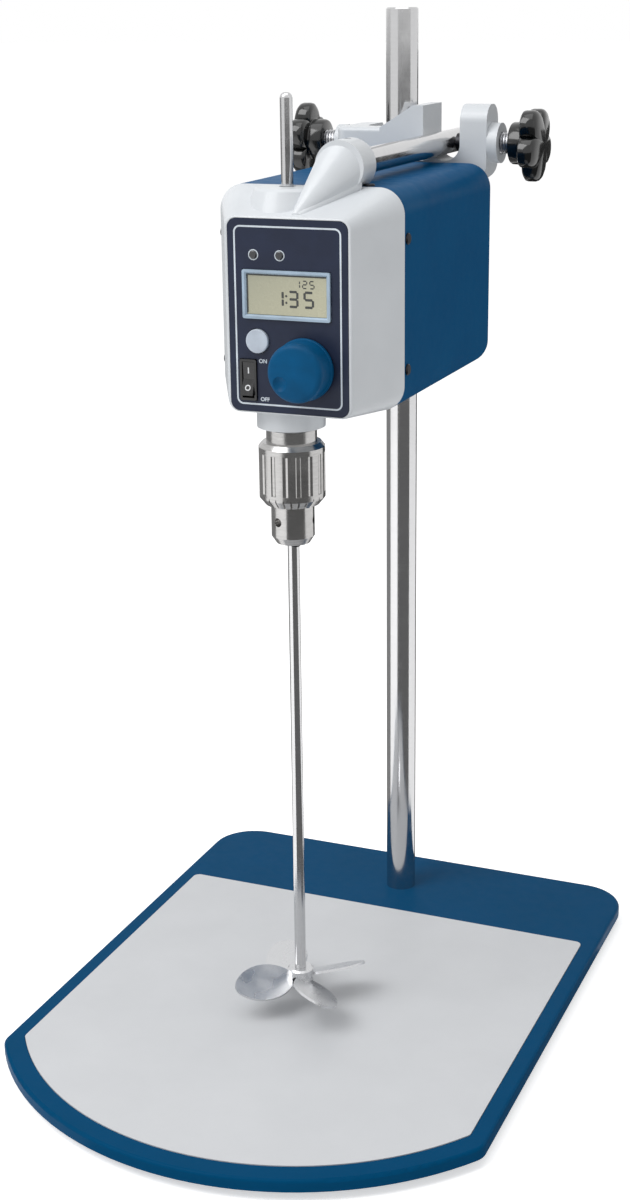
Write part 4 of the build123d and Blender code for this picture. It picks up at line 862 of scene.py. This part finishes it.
@dataclass
class Clamp:
    """The two-way clamp, its pads, screws and star knobs."""

    ring_diameter: float = 6.4
    ring_line: float = 0.7
    ring_place: Point = (44.0, 60.0, 500.5)

    def build(self) -> None:
        """Dresses the clamp, cuts its threads, turns its knobs and rings its right arm."""
        dress({"clamp_body": CASTING, "pole_clamp_pad": OXIDE, "rod_clamp_pad": OXIDE,
               "pole_clamp_screw": THREAD, "rod_clamp_screw": THREAD,
               "pole_clamp_knob": BLACK_KNOB, "rod_clamp_knob": BLACK_KNOB})
        ClampScrew("pole_clamp_screw", "pole_knob").build()
        ClampScrew("rod_clamp_screw", "rod_knob").build()
        StarKnob("pole_clamp_knob", "pole_clamp_screw", "pole_knob").build()
        StarKnob("rod_clamp_knob", "rod_clamp_screw", "rod_knob").build()
        ring = Marks(Facing.UP).disc("arm_ring", (0.0, 0.0, 0.0), self.ring_diameter, self.ring_line)
        Bench.lay_on(ring, "clamp_body", Vector(self.ring_place), INWARDS)
        Bench.mount(ring, CASTING, "clamp")


@dataclass
class Casing:
    """The head's casting and cover, its rod and what shows on its back."""

    def build(self) -> None:
        """Dresses the casing, the rod and the parts inside."""
        dress({"front_housing": CASTING, "rear_cover": BLUE_COVER, "support_rod": LEVEL_STEEL,
               "cover_screws": OXIDE, "rod_set_screws": OXIDE, "mains_inlet": INLET, "inlet_pins": BRASS,
               "gear_plate": GEAR, "gear_plate_pillars": ZINC, "motor_body": GEAR, "motor_screws": ZINC,
               "idler_stud": ZINC, "lower_bearing": BEARING, "upper_bearing": BEARING,
               "control_board": BOARD, "board_screws": ZINC, "power_supply": BOARD,
               "supply_spacers": ZINC, "speed_encoder": BEARING, "mode_switch": BOARD,
               "display_module": BOARD, "idler_gear": GEAR, "motor_shaft": GEAR, "motor_pinion": GEAR})


@dataclass
class Panel:
    """The printed panel with its display, lights, button, switch and knob."""

    border_inset: float = 3.5
    border_line: float = 0.9
    border_corner: float = 3.6
    light_ring: float = 5.6
    light_line: float = 0.55
    # Width of the painted shadow along the display window's upper and left rim.
    rim_shadow: float = 0.7
    dimple_turn: float = 215.0
    dimple_reach: float = 9.6
    dimple_radius: float = 6.0
    dimple_depth: float = 1.5
    word_height: float = 2.0
    word_inset: float = 0.8
    on_offset: float = 3.6
    off_offset: float = 4.4
    small_left: float = 27.2
    small_pitch: float = 4.0
    small_drop: float = 2.5
    large_drop: float = 8.3
    colon_left: float = 22.0
    colon_dot: float = 1.2
    rocker_mark: float = 3.2
    rocker_stroke: float = 0.7
    rocker_ring: float = 0.6
    standoff: float = 20.0

    LARGE_FIGURES: ClassVar[tuple[tuple[float, str], ...]] = ((15.4, "1"), (23.6, "3"), (32.2, "5"))
    COLON_DROPS: ClassVar[tuple[float, float]] = (10.6, 14.0)
    KNOB_FOOT: ClassVar[list[tuple[float, float]]] = [(0.0, 0.4), (0.4, 0.0), (2.2, 0.0), (2.6, 0.35)]
    KNOB_EDGE: ClassVar[list[tuple[float, float]]] = [(3.2, 0.8), (1.9, 1.1), (0.9, 1.7), (0.3, 2.6),
                                                      (0.0, 4.0)]

    def build(self) -> None:
        """Dresses the panel, prints its marks, turns its knob and marks its rocker."""
        dress({"control_panel": PANEL, "display_bezel": LCD_FRAME, "display_glass": LCD,
               "indicator_lights": LENS, "mode_button": BUTTON, "power_switch_frame": SWITCH,
               "power_rocker": SWITCH, "speed_knob": KNOB_BLUE, "encoder_shaft": BEARING})
        low, high = box_of("control_panel")
        self.left, self.right, self.front = low.x, high.x, low.y
        self.bottom, self.top = low.z, high.z
        self.marks = Marks()
        self.print_film()
        self.show_time()
        self.turn_knob()
        self.mark_rocker()

    def print_film(self) -> None:
        """Prints the border, the rings round the lights and the words beside the switch."""
        width = self.right - self.left - 2 * self.border_inset
        height = self.top - self.bottom - 2 * self.border_inset
        centre = ((self.left + self.right) / 2, self.front, (self.top + self.bottom) / 2)
        border = self.marks.plate("panel_border", centre, width, height, self.border_corner,
                                  self.border_line)
        low, high = box_of("indicator_lights")
        radius = (high.z - low.z) / 2
        rings = [self.marks.disc("light_ring", (x, self.front, (low.z + high.z) / 2), self.light_ring,
                                 self.light_line) for x in (low.x + radius, high.x - radius)]
        low, high = box_of("power_switch_frame")
        words = [self.marks.word("switch_on", (high.x + self.on_offset, self.front,
                                               high.z - self.word_inset), "ON", self.word_height),
                 self.marks.word("switch_off", (high.x + self.off_offset, self.front,
                                                low.z + self.word_inset), "OFF", self.word_height)]
        Bench.mount(Bench.join([border, *rings, *words], "panel_print"), PRINT, "head")

    def show_time(self) -> None:
        """Shows a small number and a time on the display, with a painted shadow along its upper and left
        rim.
        """
        low, high = box_of("display_glass")
        front = low.y
        small = Digits(self.marks, height=3.7, width=2.3, bar=0.62)
        large = Digits(self.marks, height=7.6, width=4.6, bar=1.25)
        bars = []
        for place, figure in enumerate("125"):
            bars += small.digit(figure, low.x + self.small_left + self.small_pitch * place,
                                high.z - self.small_drop, front)
        for left, figure in self.LARGE_FIGURES:
            bars += large.digit(figure, low.x + left, high.z - self.large_drop, front)
        for drop in self.COLON_DROPS:
            bars.append(self.marks.disc("colon", (low.x + self.colon_left, front, high.z - drop),
                                        self.colon_dot))
        # Two thin dark plates along the window's top and left edges are painted shadow from the bezel, not
        # print.
        depth = self.rim_shadow / 2
        bars.append(self.marks.plate("upper_painted_shadow", ((low.x + high.x) / 2, front, high.z - depth),
                                     high.x - low.x, self.rim_shadow))
        bars.append(self.marks.plate("left_painted_shadow", (low.x + depth, front, (low.z + high.z) / 2),
                                     self.rim_shadow, high.z - low.z - 2 * self.rim_shadow))
        Bench.mount(Bench.join(bars, "display_digits_and_painted_shadow"), LCD_PRINT_AND_SHADE, "head")


    def turn_knob(self) -> None:
        """Turns the smooth speed knob and sinks its finger dimple."""
        low, high = box_of("speed_knob")
        radius, depth = (high.x - low.x) / 2, high.y - low.y
        foot = [(rise, radius - inset) for rise, inset in self.KNOB_FOOT]
        edge = [(depth - drop, radius - inset) for drop, inset in self.KNOB_EDGE]
        knob = Bench.lathe("speed_knob_grip", [(0.0, 0.0), *foot, *edge, (depth, 0.0)], 128)
        turn = math.radians(self.dimple_turn)
        bpy.ops.mesh.primitive_uv_sphere_add(
            segments=48, ring_count=24, radius=self.dimple_radius * MM,
            location=(math.cos(turn) * self.dimple_reach * MM, math.sin(turn) * self.dimple_reach * MM,
                      (depth + self.dimple_radius - self.dimple_depth) * MM))
        dimple = bpy.context.object
        bpy.ops.object.transform_apply(location=True)
        Bench.apply(knob, "BOOLEAN", operation="DIFFERENCE", object=dimple, solver="EXACT")
        bpy.data.objects.remove(dimple, do_unlink=True)
        Bench.edit(knob)
        Bench.close(knob, 30.0)
        knob.rotation_euler = (math.pi / 2, 0.0, 0.0)
        knob.location = Vector(((low.x + high.x) / 2, high.y, (low.z + high.z) / 2)) * MM
        Bench.settle(knob, "speed_knob_grip")
        Bench.mount(knob, KNOB_BLUE, "speed_knob", ["speed_knob"])

    def mark_rocker(self) -> None:
        """Prints the I and O marks on the two slopes of the rocker."""
        low, high = box_of("power_rocker")
        middle, quarter = (low + high) / 2, (high.z - low.z) / 4
        flat = Marks(Facing.UP)
        marks = {quarter: flat.plate("rocker_on", (0.0, 0.0, 0.0), self.rocker_stroke,
                                     self.rocker_mark),
                 -quarter: flat.disc("rocker_off", (0.0, 0.0, 0.0), self.rocker_mark,
                                     self.rocker_ring)}
        for lift, mark in marks.items():
            Bench.lay_on(mark, "power_rocker", Vector((middle.x, low.y - self.standoff,
                                                       middle.z + lift)),
                         INWARDS)
            Bench.mount(mark, SWITCH_MARK, "power_rocker")


@dataclass
class Drive:
    """The spindle, the keyed chuck and the stirring shaft with its propeller."""

    def build(self) -> None:
        """Dresses the drive."""
        dress({"spindle": GEAR, "spindle_gear": GEAR, "chuck_body": CHUCK_STEEL,
               "chuck_sleeve": CHUCK_STEEL, "chuck_nut": GEAR, "chuck_jaw_1": OXIDE, "chuck_jaw_2": OXIDE,
               "chuck_jaw_3": OXIDE, "stirring_shaft": UPRIGHT_STEEL, "propeller": BLADE_STEEL,
               "hub_set_screw": OXIDE})


@dataclass
class Lamp:
    """A soft square lamp that points at the object."""

    name: str
    azimuth: float
    elevation: float
    distance: float
    size: float
    power: float

    def hang(self, target: Vector) -> None:
        """Places the lamp.

        Args:
            target: The point that it faces, in metres.
        """
        turn, rise = math.radians(self.azimuth), math.radians(self.elevation)
        away = Vector((math.sin(turn) * math.cos(rise), -math.cos(turn) * math.cos(rise),
                       math.sin(rise)))
        data = bpy.data.lights.new(self.name, "AREA")
        data.shape = "SQUARE"
        data.size = self.size
        data.energy = self.power
        lamp = bpy.data.objects.new(self.name, data)
        bpy.context.scene.collection.objects.link(lamp)
        lamp.location = target + away * self.distance
        lamp.rotation_euler = away.to_track_quat("Z", "Y").to_euler()


@dataclass
class FloorCard:
    """A grey sector of the floor that only shows in what is mirrored."""

    name: str
    first: float
    last: float
    strength: float
    inner: float = 0.04
    centre_y: float = 0.151
    outer: float = 18.0
    lift: float = 0.001
    columns: int = 32

    def lay(self) -> None:
        """Bends a grid round the pole between two azimuths and makes it glow faintly."""
        Bench.clear()
        bpy.ops.mesh.primitive_grid_add(x_subdivisions=self.columns, y_subdivisions=2, size=1.0)
        card = bpy.context.object
        card.name = self.name
        for corner in card.data.vertices:
            turn = math.radians(self.first + (corner.co.x + 0.5) * (self.last - self.first))
            out = self.inner + (corner.co.y + 0.5) * (self.outer - self.inner)
            corner.co = (math.sin(turn) * out, self.centre_y - math.cos(turn) * out, self.lift)
        graph = Graph(self.name)
        graph.set(Base_Color=BLACK, Roughness=1.0, Specular_IOR_Level=0.0,
                  Emission_Color=WHITE, Emission_Strength=self.strength)
        card.data.materials.append(graph.material)
        card.visible_camera = card.visible_diffuse = card.visible_shadow = False
        card.visible_transmission = False


@dataclass
class Studio:
    """The pale floor with its mirrored cards, the white surround and the soft lamps."""

    floor_shade: Shade = (250, 250, 250)
    floor_size: float = 40.0
    floor_glow: float = 0.55
    surround: float = 0.50
    aim: Point = (0.0, 0.0, 0.3)

    CARDS: ClassVar[tuple[FloorCard, ...]] = (
        FloorCard("front_card", -10.0, 82.0, 0.17), FloorCard("left_card", -150.0, -72.0, 0.32),
        FloorCard("rear_card", 152.0, 206.0, 0.06))
    LAMPS: ClassVar[tuple[Lamp, ...]] = (
        Lamp("key_lamp", -38.0, 48.0, 1.9, 1.2, 20.0), Lamp("right_fill", 75.0, 25.0, 2.2, 1.0, 0.5),
        Lamp("top_lamp", 20.0, 82.0, 1.8, 1.4, 7.5))

    def build(self) -> None:
        """Lays the floor and its cards, sets the surround and hangs the lamps."""
        Bench.clear()
        bpy.ops.mesh.primitive_plane_add(size=self.floor_size)
        floor = bpy.context.object
        floor.name = "studio_floor"
        graph = Graph("pale_floor")
        graph.set(Roughness=0.9, Base_Color=linear(self.floor_shade), Specular_IOR_Level=0.0,
                  Emission_Color=WHITE)
        glow = graph.span(self.seen_or_mirrored(graph.nodes, graph.links), 0.0, self.floor_glow, 0.0, 1.0)
        graph.feed("Emission Strength", glow)
        floor.data.materials.append(graph.material)
        for card in self.CARDS:
            card.lay()
        self.light_surround()
        for lamp in self.LAMPS:
            lamp.hang(Vector(self.aim))

    def light_surround(self) -> None:
        """Makes the world white where it is seen or mirrored, and softer where it lights."""
        world = bpy.data.worlds.new("white_surround")
        bpy.context.scene.world = world
        world.use_nodes = True
        nodes, links = world.node_tree.nodes, world.node_tree.links
        background = nodes["Background"]
        background.inputs["Color"].default_value = WHITE
        seen = self.seen_or_mirrored(nodes, links)
        strength = nodes.new("ShaderNodeMapRange")
        strength.inputs["To Min"].default_value = self.surround
        strength.inputs["To Max"].default_value = 1.0
        links.new(seen, strength.inputs["Value"])
        links.new(strength.outputs["Result"], background.inputs["Strength"])

    @staticmethod
    def seen_or_mirrored(nodes: bpy.types.Nodes, links: bpy.types.NodeLinks) -> Socket:
        """Adds a value that is 1 for what is seen, mirrored or seen through, and 0 for what only lights.

        Args:
            nodes: Nodes of a material or the world.
            links: Their links.

        Returns:
            The value.
        """
        path = nodes.new("ShaderNodeLightPath")
        seen = path.outputs["Is Camera Ray"]
        for name in ("Is Glossy Ray", "Is Transmission Ray"):
            either = nodes.new("ShaderNodeMath")
            either.operation = "MAXIMUM"
            links.new(seen, either.inputs[0])
            links.new(path.outputs[name], either.inputs[1])
            seen = either.outputs[0]
        return seen


@dataclass(frozen=True)
class Viewpoint:
    """The photograph's camera, from the object's straight edges and right angles."""

    azimuth: float = 22.86
    elevation: float = 17.94
    roll: float = -0.76
    place: Point = (396.4, -931.9, 587.6)
    focal_pixels: float = 1886.4
    frame_height: float = 1200.0
    sensor: float = 36.0

    def set_up(self) -> None:
        """Creates the camera and makes it the scene's own."""
        turn, rise, roll = (math.radians(a) for a in (self.azimuth, self.elevation, self.roll))
        back = Vector((math.sin(turn) * math.cos(rise), -math.cos(turn) * math.cos(rise),
                       math.sin(rise)))
        level = Vector((math.cos(turn), math.sin(turn), 0.0))
        upright = back.cross(level)
        right = math.cos(roll) * level + math.sin(roll) * upright
        up = math.cos(roll) * upright - math.sin(roll) * level
        data = bpy.data.cameras.new("photo_camera")
        data.sensor_width = self.sensor
        data.lens = self.focal_pixels / self.frame_height * self.sensor
        data.clip_start = 0.01
        camera = bpy.data.objects.new("photo_camera", data)
        bpy.context.scene.collection.objects.link(camera)
        camera.matrix_world = Matrix.Translation(Vector(self.place) * MM) @ Matrix(
            (right, up, back)).transposed().to_4x4()
        bpy.context.scene.camera = camera


def main() -> None:
    """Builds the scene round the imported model."""
    logging.basicConfig(level=logging.INFO, format="%(name)s: %(message)s")
    bpy.context.scene.view_settings.view_transform = "Standard"
    Viewpoint().set_up()
    Studio().build()
    for part in (Stand(), Clamp(), Casing(), Panel(), Drive()):
        part.build()
        log.info("%s is ready", type(part).__name__)
    Bench.clear()


if __name__ == "__main__":
    main()
